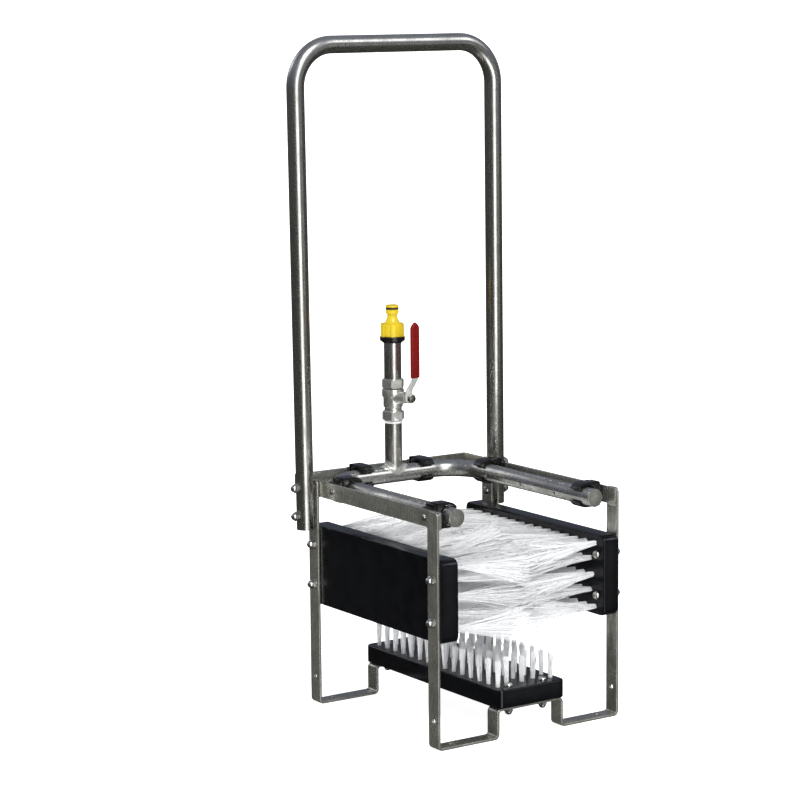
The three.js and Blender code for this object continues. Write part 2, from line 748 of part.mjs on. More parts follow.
function sleeve() {
  const shaft = leverReach - sleeveTipHeight - sleeveStart;
  const oval = new THREE.Vector3(leverThick / 2 + sleeveFaceWall, 1, leverWidth / 2 + sleeveEdgeWall);
  const body = new THREE.CylinderGeometry(1, 1, shaft, holeSides);
  const tip = new THREE.CylinderGeometry(sleeveTipShare, 1, sleeveTipHeight, holeSides);
  for (const shape of [body, tip]) shape.scale(...oval).rotateX(quarter);
  const middle = leverFace + leverThick / 2 + leverCrank;
  const outside = solidOf(body, at(middle, 0, sleeveStart + shaft / 2));
  const pointed = outside.add(solidOf(tip, at(middle, 0, leverReach - sleeveTipHeight / 2)));
  const pocket = shaft + overrun;
  const pocketMiddle = sleeveStart - overrun + pocket / 2;
  return pointed.subtract(box(leverThick + 2 * gap, leverWidth + 2 * gap, pocket, middle, 0, pocketMiddle));
}

const lowerSeatPlace = valvePlace.clone().multiply(new THREE.Matrix4().makeRotationX(half));
const gland = hexDisc(glandFlats, bossReach + gap, bossReach + gap + glandHeight);
const glandHole = disc(stemRadius + gap, 0, stemTip, holeSides);
const leverNut = hexDisc(leverNutFlats, leverNutFace, leverNutFace + leverNutHeight).subtract(glandHole);
addPiece('valve_body', valveBody(), platedBrass, valvePlace);
addPiece('valve_end', valveEndPiece(), platedBrass, valvePlace);
addPiece('lower_ball_seat', ballSeat(), sealPlastic, lowerSeatPlace);
addPiece('upper_ball_seat', ballSeat(), sealPlastic, valvePlace);
addPiece('valve_ball', ball(), brightSteel, valvePlace);
addPiece('valve_stem', stem(), brightSteel, valvePlace);
addPiece('gland_nut', onStem(gland.subtract(glandHole)), platedBrass, valvePlace);
addPiece('valve_lever', lever(), brightSteel, valvePlace);
addPiece('lever_sleeve', sleeve(), redVinyl, valvePlace);
addPiece('lever_nut', onStem(leverNut), brightSteel, valvePlace);

// Outlet pipe, ring nut and hose connector above the valve
const columnPlace = at(0, sprayBack, 0);
const valveTop = inletHeight - valveFoot + valveEnd;
const ringNutFoot = valveTop + outletShow;
const ringNutTop = ringNutFoot + ringNutHeight;
const ringNutRadius = socketRadius + ringNutWall;
const outletTop = ringNutFoot + outletHold;
const washerFoot = outletTop + gap;
const outlet = tube(pipeRadius, pipeBore, valveTop - threadDepth + gap, outletTop);
const ringNut = turned([
  [socketRadius, ringNutFoot],
  [socketRadius + ringNutFootWall, ringNutFoot],
  [ringNutRadius, ringNutTop - ringNutFlange],
  [ringNutRadius, ringNutTop],
  [socketRadius, ringNutTop],
  [socketRadius, ringNutFoot],
]);

const connectorFoot = ringNutTop + gap;
const connectorNutTop = connectorFoot + connectorNutHeight;
const coneTop = connectorNutTop + connectorConeHeight;
const collarFoot = coneTop + connectorNeckHeight;
const grooveFoot = collarFoot + connectorCollarHeight;
const grooveTop = grooveFoot + connectorGrooveHeight;
const connectorTop = grooveTop + connectorTipHeight;

function hoseConnector() {
  const nutRadius = socketRadius + connectorNutWall;
  let body = turned([
    [0, connectorFoot],
    [nutRadius, connectorFoot],
    [nutRadius, connectorNutTop],
    [connectorConeRadius, connectorNutTop],
    [(connectorConeRadius + 2 * connectorNeckRadius) / 3, connectorNutTop + connectorConeHeight / 2],
    [connectorNeckRadius, coneTop],
    [connectorNeckRadius, collarFoot],
    [connectorTipRadius, collarFoot],
    [connectorTipRadius, grooveFoot],
    [connectorGrooveRadius, grooveFoot],
    [connectorGrooveRadius, grooveTop],
    [connectorTipRadius, grooveTop],
    [connectorTipRadius, connectorTop - connectorTipChamfer],
    [connectorTipRadius - connectorTipChamfer, connectorTop],
    [0, connectorTop],
  ]);
  for (let rib = 0; rib < connectorRibs / 2; rib += 1) {
    const turn = new THREE.Matrix4().makeRotationZ((full * rib) / connectorRibs);
    const middle = connectorFoot + connectorNutHeight / 2;
    const reach = nutRadius + connectorRibReach;
    const bar = box(2 * reach, connectorRibWidth, connectorNutHeight, 0, 0, middle);
    body = body.add(placed(bar, turn));
  }
  body = body.subtract(disc(socketRadius, connectorFoot - overrun, washerFoot + washerThick + gap));
  return body.subtract(disc(connectorBore, connectorFoot, connectorTop + overrun));
}

function sealRing() {
  const middle = (grooveFoot + grooveTop) / 2;
  const profile = Array.from({ length: boltSides + 1 }, (_, step) => {
    const angle = (full * (step % boltSides)) / boltSides;
    const radius = connectorGrooveRadius + gap + sealRadius + sealRadius * Math.cos(angle);
    return [radius, middle + sealRadius * Math.sin(angle)];
  });
  return turned(profile);
}

const washer = tube(pipeRadius, connectorBore, washerFoot, washerFoot + washerThick);
addPiece('outlet_pipe', outlet, steel, columnPlace);
addPiece('ring_nut', ringNut, blackPlastic, columnPlace);
addPiece('hose_connector', hoseConnector(), yellowPlastic, columnPlace);
addPiece('sealing_washer', washer, blackRubber, columnPlace);
addPiece('connector_o_ring', sealRing(), blackRubber, columnPlace);

// The origin is the middle of the part's box, on the floor
const bounds = new THREE.Box3().setFromObject(model);
const centre = bounds.getCenter(new THREE.Vector3());
model.position.set(-centre.x, -centre.y, -bounds.min.z);

export default model;
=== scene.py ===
# %% [markdown]
# # A boot cleaner, dressed for its portrait
#
# The real object stands at the entrance of a site. Two bent flat bars carry a ring of flat bar, three
# plastic brushes and a pipe that sprays water on the boot, and a tall hoop of pipe gives the user
# something to hold. The CAD model already says where every piece is. This lesson keeps those places and
# builds finer pieces there, with the finishes of the real materials.
#
# Lengths are drawn in millimetres, as on a workshop drawing, and become metres when a piece is finished.

# %% Load the frame
import math
import random

import bmesh
import bpy
from mathutils import Matrix, Vector


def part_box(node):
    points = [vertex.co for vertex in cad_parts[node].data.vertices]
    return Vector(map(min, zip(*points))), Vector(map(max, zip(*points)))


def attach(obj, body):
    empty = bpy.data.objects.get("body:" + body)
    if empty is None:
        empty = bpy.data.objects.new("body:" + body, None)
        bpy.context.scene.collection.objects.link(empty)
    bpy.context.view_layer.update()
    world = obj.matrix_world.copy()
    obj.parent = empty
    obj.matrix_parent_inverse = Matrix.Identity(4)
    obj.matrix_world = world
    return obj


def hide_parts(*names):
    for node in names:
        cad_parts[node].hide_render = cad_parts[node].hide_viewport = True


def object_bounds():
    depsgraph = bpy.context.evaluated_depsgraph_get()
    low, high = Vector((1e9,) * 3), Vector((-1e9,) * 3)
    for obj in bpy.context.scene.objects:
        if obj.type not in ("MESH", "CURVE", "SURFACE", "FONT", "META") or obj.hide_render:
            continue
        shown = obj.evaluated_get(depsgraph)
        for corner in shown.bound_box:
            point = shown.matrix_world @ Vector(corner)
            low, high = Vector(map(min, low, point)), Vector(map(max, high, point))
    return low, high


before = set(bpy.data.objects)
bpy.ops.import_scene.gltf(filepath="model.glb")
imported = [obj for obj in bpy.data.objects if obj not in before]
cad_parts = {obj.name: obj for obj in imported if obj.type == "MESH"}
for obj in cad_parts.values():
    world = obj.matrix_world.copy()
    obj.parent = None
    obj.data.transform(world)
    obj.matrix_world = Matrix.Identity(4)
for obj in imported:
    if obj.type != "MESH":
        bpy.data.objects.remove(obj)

cad_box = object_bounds()
mm = 0.001

# %% [markdown]
# ## Camera
#
# The photograph was taken from the front left with a long lens, from just above the hoop's top. Straight
# edges of the frame gave the direction and distance. A camera could be aimed with a constraint, but its
# three axes are easy to write down: one points backwards, from the object to the camera, and the other
# two follow from it.

# %% Camera
camera_place = Vector((-1.7863, -2.5282, 0.8492))
camera_azimuth = math.radians(34.09)
camera_elevation = math.radians(8.75)
camera_roll = math.radians(-0.55)
focal_length, film_width, sight_end = 118.93, 36, 5000


def put_in_scene(name, data):
    made = bpy.data.objects.new(name, data)
    bpy.context.scene.collection.objects.link(made)
    return made


def turned(x_axis, y_axis, z_axis):
    """A turn onto three given axes"""
    return Matrix((x_axis, y_axis, z_axis)).transposed().to_4x4()


backwards = Vector((
    -math.sin(camera_azimuth) * math.cos(camera_elevation),
    -math.cos(camera_azimuth) * math.cos(camera_elevation),
    math.sin(camera_elevation),
))
level_right = Vector((math.cos(camera_azimuth), -math.sin(camera_azimuth), 0))
level_up = backwards.cross(level_right)
camera_right = level_right * math.cos(camera_roll) + level_up * math.sin(camera_roll)
camera_up = level_up * math.cos(camera_roll) - level_right * math.sin(camera_roll)

lens = bpy.data.cameras.new("photo_camera")
lens.lens, lens.sensor_width, lens.clip_end = focal_length, film_width, sight_end
camera = put_in_scene("photo_camera", lens)
camera.matrix_world = Matrix.Translation(camera_place) @ turned(camera_right, camera_up, backwards)
bpy.context.scene.camera = camera
object_middle = (Vector(cad_box[0]) + Vector(cad_box[1])) / 2
print("Camera", round((camera_place - object_middle).length, 2), "m from the object's middle")

# %% [markdown]
# ## Finishes
#
# Every finish is a small graph of nodes around one shader. The patterns read Object coordinates, which
# are metres on the real piece, so a scratch or a grain keeps its size on a short bolt and on a long pipe.
# Image textures could do this too, but they'd have to be unwrapped and painted for every piece.

# %% A material and its nodes
finishes = {}


def start_finish(name, sockets=()):
    """A new material whose shader has the given plain values"""
    material = bpy.data.materials.new(name)
    material.use_nodes = True
    tree = material.node_tree
    shader = tree.nodes["Principled BSDF"]
    for socket, value in dict(sockets).items():
        shader.inputs[socket].default_value = value
    finishes[name] = material
    return tree, shader


def node(tree, kind, **settings):
    made = tree.nodes.new(kind)
    for name, value in settings.items():
        setattr(made, name, value)
    return made


def feed(tree, socket, value):
    """Gives a socket another node's output, or a plain value"""
    if isinstance(value, bpy.types.NodeSocket):
        tree.links.new(value, socket)
    else:
        socket.default_value = value


# %% Patterns and their colours
def place_of(tree, stretch=(1, 1, 1)):
    """Object coordinates, stretched so that a pattern runs long or short along an axis"""
    coordinates = node(tree, "ShaderNodeTexCoord")
    mapping = node(tree, "ShaderNodeMapping")
    mapping.inputs["Scale"].default_value = stretch
    tree.links.new(coordinates.outputs["Object"], mapping.inputs["Vector"])
    return mapping.outputs["Vector"]


def noise(tree, place, scale, detail=4, roughness=0.55):
    made = node(tree, "ShaderNodeTexNoise")
    for socket, value in (("Vector", place), ("Scale", scale), ("Detail", detail), ("Roughness", roughness)):
        feed(tree, made.inputs[socket], value)
    return made.outputs["Fac"]


def shades(tree, factor, *stops):
    """Colours along a factor, each stop a position and a colour"""
    ramp = node(tree, "ShaderNodeValToRGB")
    elements = ramp.color_ramp.elements
    while len(elements) < len(stops):
        elements.new(0.5)
    for element, (position, colour) in zip(elements, stops):
        element.position = position
        element.color = (*colour, 1)
    tree.links.new(factor, ramp.inputs["Fac"])
    return ramp.outputs["Color"]


def span(tree, factor, start, end, low, high):
    """Maps a factor's span from start to end onto low to high"""
    made = node(tree, "ShaderNodeMapRange")
    for socket, value in zip(("From Min", "From Max", "To Min", "To Max"), (start, end, low, high)):
        made.inputs[socket].default_value = value
    tree.links.new(factor, made.inputs["Value"])
    return made.outputs["Result"]


# %% Mixing, paint and relief
def blend_colours(tree, factor, first, second, way="MIX"):
    made = node(tree, "ShaderNodeMix", data_type="RGBA", blend_type=way)
    for socket, value in (("Factor", factor), ("A", first), ("B", second)):
        feed(tree, [entry for entry in made.inputs if entry.name == socket and entry.enabled][0], value)
    return [entry for entry in made.outputs if entry.enabled][0]


def together(tree, way, first, second):
    made = node(tree, "ShaderNodeMath", operation=way)
    for socket, value in zip(made.inputs, (first, second)):
        feed(tree, socket, value)
    return made.outputs["Value"]


def paint(tree, shader, colour, roughness):
    tree.links.new(colour, shader.inputs["Base Color"])
    tree.links.new(roughness, shader.inputs["Roughness"])


def roughen(tree, shader, height, depth, strength):
    """Relief of a real depth in metres"""
    bump = node(tree, "ShaderNodeBump")
    bump.inputs["Strength"].default_value = strength
    bump.inputs["Distance"].default_value = depth
    tree.links.new(height, bump.inputs["Height"])
    tree.links.new(bump.outputs["Normal"], shader.inputs["Normal"])


# %% [markdown]
# ## Worn steel
#
# The bars and pipes are plain steel that was never painted: a grey with a trace of warmth, cloudy mill
# marks, darker specks and fine streaks. The welds are paler and duller. A metal has almost no colour of
# its own beyond what it reflects, so the same clouds and streaks set the base colour and the roughness.

# %% Worn steel, for pipes, bars and welds
def worn_steel(name, metallic, light, dark, stretch):
    tree, shader = start_finish(name, {"Metallic": metallic})
    plain = place_of(tree)
    drawn = place_of(tree, stretch)
    clouds = noise(tree, plain, 38, detail=6, roughness=0.62)
    streaks = noise(tree, drawn, 420, detail=5, roughness=0.6)
    specks = noise(tree, plain, 900, detail=3, roughness=0.7)
    marks = together(tree, "ADD", together(tree, "MULTIPLY", clouds, 0.6),
                     together(tree, "MULTIPLY", streaks, 0.4))
    halfway = [(a + b) / 2 for a, b in zip(light, dark)]
    base = shades(tree, marks, (0.36, dark), (0.5, halfway), (0.64, light))
    speck = shades(tree, specks, (0.28, (0.5, 0.49, 0.45)), (0.36, (1, 1, 1)))
    paint(tree, shader, blend_colours(tree, 1.0, base, speck, "MULTIPLY"),
          span(tree, marks, 0.35, 0.65, 0.34, 0.22))
    roughen(tree, shader, together(tree, "ADD", streaks, specks), depth=0.000025, strength=0.4)


worn_steel("pipe_steel", 0.99, light=(0.62, 0.615, 0.585), dark=(0.36, 0.355, 0.33), stretch=(1, 1, 0.12))
worn_steel("bar_steel", 0.85, light=(0.50, 0.495, 0.45), dark=(0.27, 0.265, 0.235), stretch=(1, 1, 0.2))
worn_steel("weld_steel", 0.6, light=(0.66, 0.655, 0.62), dark=(0.46, 0.45, 0.42), stretch=(1, 1, 1))
print("Steels:", ", ".join(finishes))

# %% [markdown]
# ## The fittings' metals
#
# The valve is cast brass under a thin nickel plating, so its skin is slightly lumpy and pale yellow-grey.
# Bolts, screws, the lever's nut and the stem are bright zinc-plated steel, and the lever's strip has the
# same plating gone dull. They differ mainly in grain: casting gives soft lumps, turning and rolling give
# fine lines, and dull zinc only has stains.

# %% Plated brass, bright zinc and dull zinc
def fitting_metal(name, metallic, stain_scale, colours, rough, grain=None, depth=0):
    """Stains set the colour; a grain of (stretch, scale, detail, roughness) sets sheen and relief"""
    tree, shader = start_finish(name, {"Metallic": metallic})
    stains = noise(tree, place_of(tree), stain_scale)
    marks = stains
    if grain:
        stretch, *settings = grain
        marks = noise(tree, place_of(tree, stretch), *settings)
        roughen(tree, shader, marks, depth, strength=0.5)
    paint(tree, shader, shades(tree, stains, *colours), span(tree, marks, 0.3, 0.7, *rough))


fitting_metal("plated_cast_brass", 0.92, 60, ((0.35, (0.56, 0.55, 0.51)), (0.65, (0.80, 0.795, 0.76))),
              rough=(0.40, 0.24), grain=((1, 1, 1), 260, 5, 0.6), depth=0.0002)
fitting_metal("bright_zinc", 1.0, 120, ((0.3, (0.50, 0.49, 0.46)), (0.7, (0.78, 0.77, 0.74))),
              rough=(0.34, 0.18), grain=((1, 1, 0.2), 900, 3, 0.55), depth=0.00004)
fitting_metal("dull_zinc", 0.35, 150, ((0.3, (0.58, 0.60, 0.57)), (0.7, (0.78, 0.80, 0.77))),
              rough=(0.5, 0.34))
print("Metals so far:", len(finishes))

# %% [markdown]
# ## Plastics and rubber
#
# The brush blocks and clips are black plastic with a faint moulded grain and a soft sheen. The hose
# connector is bright yellow, the lever's sleeve is dipped red vinyl with a low sheen, and white tape is
# wound on the pipe thread. Plastics share one recipe: a colour that wavers a little, a grain in the
# relief, and a roughness that wavers with it.

# %% Plastic finishes
def plastic(name, light, dark, rough, grain, depth, sockets=()):
    tree, shader = start_finish(name, sockets)
    plain = place_of(tree)
    fine = noise(tree, plain, grain, roughness=0.6)
    broad = noise(tree, plain, grain / 14)
    paint(tree, shader, shades(tree, broad, (0.35, dark), (0.65, light)),
          span(tree, fine, 0.3, 0.7, rough[1], rough[0]))
    roughen(tree, shader, fine, depth, strength=0.6)


# Each row: name, light and dark colour, smoothest and roughest, grains in a metre, their depth in metres
for row in (
    ("black_block", (0.003, 0.0034, 0.0048), (0.0012, 0.0014, 0.002), (0.12, 0.24), 700, 0.00004,
     {"Specular IOR Level": 0.28}),
    ("black_moulding", (0.0045, 0.0045, 0.005), (0.002, 0.002, 0.0024), (0.14, 0.28), 900, 0.00005),
    ("black_nut_moulding", (0.006, 0.006, 0.008), (0.003, 0.003, 0.004), (0.2, 0.34), 900, 0.00006),
    ("red_dipped_vinyl", (0.17, 0.004, 0.0035), (0.125, 0.003, 0.003), (0.2, 0.32), 300, 0.00002,
     {"Specular IOR Level": 0.18}),
    ("yellow_moulding", (0.68, 0.505, 0.009), (0.60, 0.43, 0.007), (0.24, 0.38), 700, 0.00004),
    ("seal_white", (0.96, 0.96, 0.95), (0.90, 0.90, 0.88), (0.35, 0.60), 500, 0.00012),
    ("black_seal_rubber", (0.014, 0.014, 0.014), (0.006, 0.006, 0.006), (0.45, 0.7), 1200, 0.00006),
):
    plastic(*row)
print("Finishes with the plastics:", len(finishes))

# %% [markdown]
# White nylon looks bright because light wanders through the whole bundle, so its colour is nearly white
# and a very little painted glow stands in for that light. Grey lines along the strands are painted shade
# between them, and the strands' light tones differ a little. A noise that is stretched along the strands
# gives those lines, along X for the side brushes and along Z for the sole brush.

# %% Nylon, for strands along an axis
def nylon(name, stretch, painted_glow):
    # The emission is a painted glow that stands in for light wandering through the bundle
    tree, shader = start_finish(name, {"Transmission Weight": 0.1, "IOR": 1.53,
                                       "Emission Color": (1, 1, 1, 1), "Emission Strength": painted_glow})
    strands = noise(tree, place_of(tree, stretch), 800, detail=3, roughness=0.7)
    # The darkest stop is painted shade between the strands, drawn as grey lines; the lighter stops are the
    # strands' own tones
    lines = ((0.33, (0.25, 0.26, 0.28)), (0.42, (0.93, 0.935, 0.95)), (0.60, (0.98, 0.985, 0.99)))
    paint(tree, shader, shades(tree, strands, *lines), span(tree, strands, 0.3, 0.7, 0.45, 0.28))
    roughen(tree, shader, strands, depth=0.00003, strength=0.6)


# The side and sole nylon get different strengths of painted glow
nylon("side_nylon", stretch=(0.06, 1, 1), painted_glow=0.012)
nylon("sole_nylon", stretch=(1, 1, 0.06), painted_glow=0.03)
print("Finishes:", ", ".join(finishes))

# %% [markdown]
# ## Making pieces
#
# A few helpers carry the whole object. A lathe spins an outline about +Z, a drawbench pulls an outline
# along straight runs and round bends, and a saw joins or cuts closed shapes with the Boolean modifier. A
# piece is then scaled to metres, gets its finish and rides on a CAD body.

# %% Lathe
merge_distance = 0.001


def only(kind, parts):
    return [part for part in parts if isinstance(part, kind)]


def tidy(shape):
    """Merges doubles and turns the faces outwards"""
    bmesh.ops.remove_doubles(shape, verts=shape.verts, dist=merge_distance)
    bmesh.ops.recalc_face_normals(shape, faces=shape.faces)
    return shape


def lathe(outline, sides, place=Matrix()):
    """Spins (radius, height) pairs about +Z"""
    shape = bmesh.new()
    points = [shape.verts.new((radius, 0, height)) for radius, height in outline]
    lines = [shape.edges.new(pair) for pair in zip(points, points[1:])]
    bmesh.ops.spin(shape, geom=points + lines, cent=(0, 0, 0), axis=(0, 0, 1), dvec=(0, 0, 0),
                   angle=2 * math.pi, steps=sides, use_merge=True, use_duplicate=False)
    bmesh.ops.transform(shape, matrix=place, verts=shape.verts)
    return tidy(shape)


# %% Drawbench
def facing(direction):
    """A turn that points +Z along a direction"""
    return Vector(direction).to_track_quat("Z", "Y").to_matrix().to_4x4()


def draw_out(shape, edges, corners, bend, steps):
    """Pulls an outline along straight runs and round bends, and closes nothing"""
    here = corners[0]
    for number in range(1, len(corners)):
        corner = corners[number]
        arriving = (corner - corners[number - 1]).normalized()
        stop, turn = corner, 0
        if number < len(corners) - 1:
            leaving = (corners[number + 1] - corner).normalized()
            turn = arriving.angle(leaving)
            stop = corner - arriving * bend * math.tan(turn / 2)
        pulled = bmesh.ops.extrude_edge_only(shape, edges=edges)["geom"]
        ends = only(bmesh.types.BMVert, pulled)
        bmesh.ops.translate(shape, verts=ends, vec=stop - here)
        edges = [edge for edge in only(bmesh.types.BMEdge, pulled) if edge.is_boundary]
        if turn:
            inward = (leaving - arriving * math.cos(turn)).normalized()
            spun = bmesh.ops.spin(shape, geom=edges + ends, cent=stop + inward * bend,
                                  axis=arriving.cross(leaving).normalized(), dvec=(0, 0, 0), angle=turn,
                                  steps=steps, use_merge=False, use_duplicate=False)
            edges = only(bmesh.types.BMEdge, spun["geom_last"])
            here = corner + leaving * bend * math.tan(turn / 2)


def fill_ends(shape):
    bmesh.ops.holes_fill(shape, edges=[edge for edge in shape.edges if edge.is_boundary], sides=0)


def drawn_pipe(corners, radius, bend, sides, steps, wall=0):
    """A bent pipe with open ends, or a solid rod where it has no wall"""
    shape = bmesh.new()
    bmesh.ops.create_circle(shape, cap_ends=False, segments=sides, radius=radius,
                            matrix=Matrix.Translation(corners[0]) @ facing(corners[1] - corners[0]))
    draw_out(shape, list(shape.edges), corners, bend, steps)
    if not wall:
        fill_ends(shape)
    tidy(shape)
    if wall:
        bmesh.ops.solidify(shape, geom=list(shape.faces), thickness=wall)
    return shape


def drawn_bar(corners, across, width, thick, bend, steps):
    """A bent flat bar: across is the direction of its width"""
    shape = bmesh.new()
    through = (corners[1] - corners[0]).normalized().cross(across)
    signs = ((-1, -1), (1, -1), (1, 1), (-1, 1))
    points = [shape.verts.new(corners[0] + across * width / 2 * a + through * thick / 2 * b)
              for a, b in signs]
    edges = [shape.edges.new((points[i], points[(i + 1) % 4])) for i in range(4)]
    draw_out(shape, edges, corners, bend + thick / 2, steps)
    fill_ends(shape)
    return tidy(shape)


# %% Blocks, rods and rounded edges
def block(size, centre):
    """A box of a given size about a centre"""
    shape = bmesh.new()
    bmesh.ops.create_cube(shape, size=1, matrix=Matrix.Translation(centre) @ Matrix.Diagonal((*size, 1)))
    return shape


def stick(start, end, radius, sides):
    return drawn_pipe([Vector(start), Vector(end)], radius, 0, sides, 1)


def edges_along(shape, axis, at_least=1):
    """Edges that run at least so far along an axis"""
    return [edge for edge in shape.edges
            if abs(edge.verts[0].co[axis] - edge.verts[1].co[axis]) > at_least]


def round_off(shape, edges, radius):
    bmesh.ops.bevel(shape, geom=edges, offset=radius, offset_type="OFFSET", affect="EDGES",
                    segments=8, profile=0.5, material=-1, clamp_overlap=True)


# %% Saw
def kept(shape, name):
    """The shape as a mesh, for an object or as a template for many places"""
    mesh = bpy.data.meshes.new(name)
    shape.to_mesh(mesh)
    shape.free()
    return mesh


def as_object(shape, name="blank"):
    return put_in_scene(name, kept(shape, name))


def baked(made):
    """The object's mesh with its modifiers applied, as a new bmesh; the object goes"""
    bpy.context.view_layer.update()
    graph = bpy.context.evaluated_depsgraph_get()
    result = bpy.data.meshes.new_from_object(made.evaluated_get(graph))
    shape = bmesh.new()
    shape.from_mesh(result)
    bpy.data.meshes.remove(result)
    bpy.data.objects.remove(made)
    return shape


def sawn(shape, tools, way="DIFFERENCE"):
    """Cuts closed tools from a closed shape, joins them to it or keeps what they share"""
    stock = as_object(shape)
    cutters = [as_object(tool) for tool in tools]
    for cutter in cutters:
        saw = stock.modifiers.new("saw", "BOOLEAN")
        saw.operation, saw.solver, saw.object = way, "EXACT", cutter
    result = baked(stock)
    for cutter in cutters:
        bpy.data.objects.remove(cutter)
    return result


# %% Nuts
nut_clear, nut_fall, nut_attempts = 0.05, 0.52, 12


def hexagon(flats, low, high, chamfer=0.0):
    """A nut's hexagon, whose corners are turned off at both ends when it has a chamfer"""
    corner = flats / math.sqrt(3)
    far, flat = corner + nut_clear, flats / 2
    drop = (far - flat + chamfer) * nut_fall
    # The solver sometimes breaks this cut, which shows in the volume. New blanks then cut well
    for attempt in range(nut_attempts):
        shape = lathe([(0, low), (corner, low), (corner, high), (0, high)], 6)
        if not chamfer:
            return shape
        whole = shape.calc_volume()
        turned_blank = lathe([(0, low), (flat - chamfer, low), (far, low + drop), (far, high - drop),
                              (flat - chamfer, high), (0, high)], 48)
        nut = sawn(shape, [turned_blank], "INTERSECT")
        if whole / 2 < nut.calc_volume(signed=True) < whole:
            break
    return nut


def finish_piece(name, shape, finish, nodes, body="frame", bevel=0.0, corner=32, bevel_steps=2):
    """Scales a shape to metres and makes it an object that rides on its body"""
    bmesh.ops.scale(shape, vec=(mm, mm, mm), verts=shape.verts)
    if bevel:
        sharp = as_object(shape, name)
        rounding = sharp.modifiers.new("rounding", "BEVEL")
        rounding.width, rounding.segments = bevel * mm, bevel_steps
        rounding.limit_method, rounding.angle_limit = "ANGLE", math.radians(corner)
        rounding.use_clamp_overlap, rounding.harden_normals = True, False
        shape = baked(sharp)
    made = as_object(shape, name)
    made.data.materials.append(finishes[finish])
    made.data.polygons.foreach_set("use_smooth", [True] * len(made.data.polygons))
    made.data.set_sharp_from_angle(angle=math.radians(corner))
    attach(made, body)
    if nodes:
        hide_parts(*nodes)
    return made


def box_mm(name):
    """A node's lowest and highest corners in millimetres"""
    low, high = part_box(name)
    return low / mm, high / mm


def middle_of(name):
    low, high = box_mm(name)
    return (low + high) / 2


# %% [markdown]
# ## Leg frames
#
# Each leg frame is one 20 by 3 mm flat bar: down a leg, along a foot, up to the shelf that carries the
# sole brush, and the same again. A box per run would leave the bends out. Drawing one rectangle along the
# whole route gives the bends their radius and keeps the bar's thickness everywhere.

# %% Leg frames
bar_width, bar_thick, bar_bend = 20, 3, 3
leg_middle_out, shelf_edge, shelf_height = 128.5, 46, 34.5
frame_top, leg_round = 275, 5
foot_hole_place, leg_hole_height, fixing_radius = 106, 33.5, 2.8
frame_places = {"front": -142.5, "rear": 107.5}
hands = {"left": -1, "right": 1}
overrun, bend_steps = 4, 8
touching = 0.1
bar_edges = {"bevel": 0.6, "bevel_steps": 3}


def leg_frame(name, y):
    half = [(leg_middle_out, frame_top), (leg_middle_out, bar_thick / 2), (shelf_edge, bar_thick / 2),
            (shelf_edge, shelf_height)]
    route = half + [(-x, z) for x, z in reversed(half)]
    corners = [Vector((x, y, z)) for x, z in route]
    bar = drawn_bar(corners, Vector((0, 1, 0)), bar_width, bar_thick, bar_bend, bend_steps)
    round_off(bar, [edge for edge in edges_along(bar, 0)
                    if all(vert.co.z > frame_top - touching for vert in edge.verts)], leg_round)
    drills = []
    for side in (-1, 1):
        foot, leg = side * foot_hole_place, side * leg_middle_out
        drills.append(stick((foot, y, -overrun), (foot, y, bar_thick + overrun), fixing_radius, 28))
        drills.append(stick((leg - overrun, y, leg_hole_height), (leg + overrun, y, leg_hole_height),
                            fixing_radius, 28))
    return finish_piece(name + "_bar", sawn(bar, drills), "bar_steel", [name], **bar_edges)


for end, y in frame_places.items():
    made = leg_frame(end + "_leg_frame", y)
print("Leg frames:", len(made.data.polygons), "faces each")

# %% [markdown]
# ## Top ring
#
# Two side rails and a back rail of the same bar stand on edge between the legs and carry the pipe clips.
# They're plain strips with sawn ends, so a box with softly broken edges is the whole shape, and small
# rows of weld under the side rails join them to the legs.

# %% Rails
for name in ("left_rail", "right_rail", "back_rail"):
    low, high = box_mm(name)
    finish_piece(name + "_bar", block(high - low, middle_of(name)), "bar_steel", [name], **bar_edges)
    print(name, "is", round(max(high - low), 1), "mm long")

# %% Weld under each end of the side rails
rail_weld_length, rail_weld_out, rail_weld_height = 17, 126.4, 254.6
rail_weld_girth, rail_weld_lumps = 2.2, 8


def weld_row(start, length, girth, lumps, steps=6):
    """A row of weld lumps along +Y, thinner towards both ends"""
    outline = [(0, 0)]
    for step in range(lumps * steps + 1):
        share = step / steps
        taper = min(1, 4 * share / lumps, 4 * (lumps - share) / lumps)
        lump = 0.84 + 0.16 * abs(math.sin(math.pi * share))
        outline.append((girth * (0.35 + 0.65 * taper) * lump, length * step / lumps / steps))
    outline.append((0, length))
    return lathe(outline, 16, Matrix.Translation(start) @ Matrix.Rotation(-math.pi / 2, 4, "X"))


for hand, side in hands.items():
    for end, y in frame_places.items():
        start = Vector((side * rail_weld_out, y - rail_weld_length / 2, rail_weld_height))
        row = weld_row(start, rail_weld_length, rail_weld_girth, rail_weld_lumps)
        finish_piece(f"{hand}_{end}_rail_weld", row, "weld_steel", [])
print("Rows of weld under the rails:", len(hands) * len(frame_places))

# %% [markdown]
# ## Hoop
#
# The hoop is 1/2 inch pipe, 21.3 mm outside, bent twice and left open at the bottom. It leans back a
# little and spreads a little, as the photograph shows. A curve with a round bevel would look the same,
# but a drawn ring of points gets its wall and its open ends in the same way as the bars.

# %% Handle hoop
pipe_radius, pipe_wall, pipe_sides, pipe_steps = 10.65, 2, 48, 20
object_height = 801
hoop_low, hoop_high = 216, object_height - pipe_radius
hoop_foot_x, hoop_top_x, hoop_bend = 140.95, 142.95, 50
hoop_lean, hoop_straight = 5.5, 265


def hoop_back(z):
    return frame_places["rear"] + hoop_lean * (z - hoop_straight) / (hoop_high - hoop_straight)


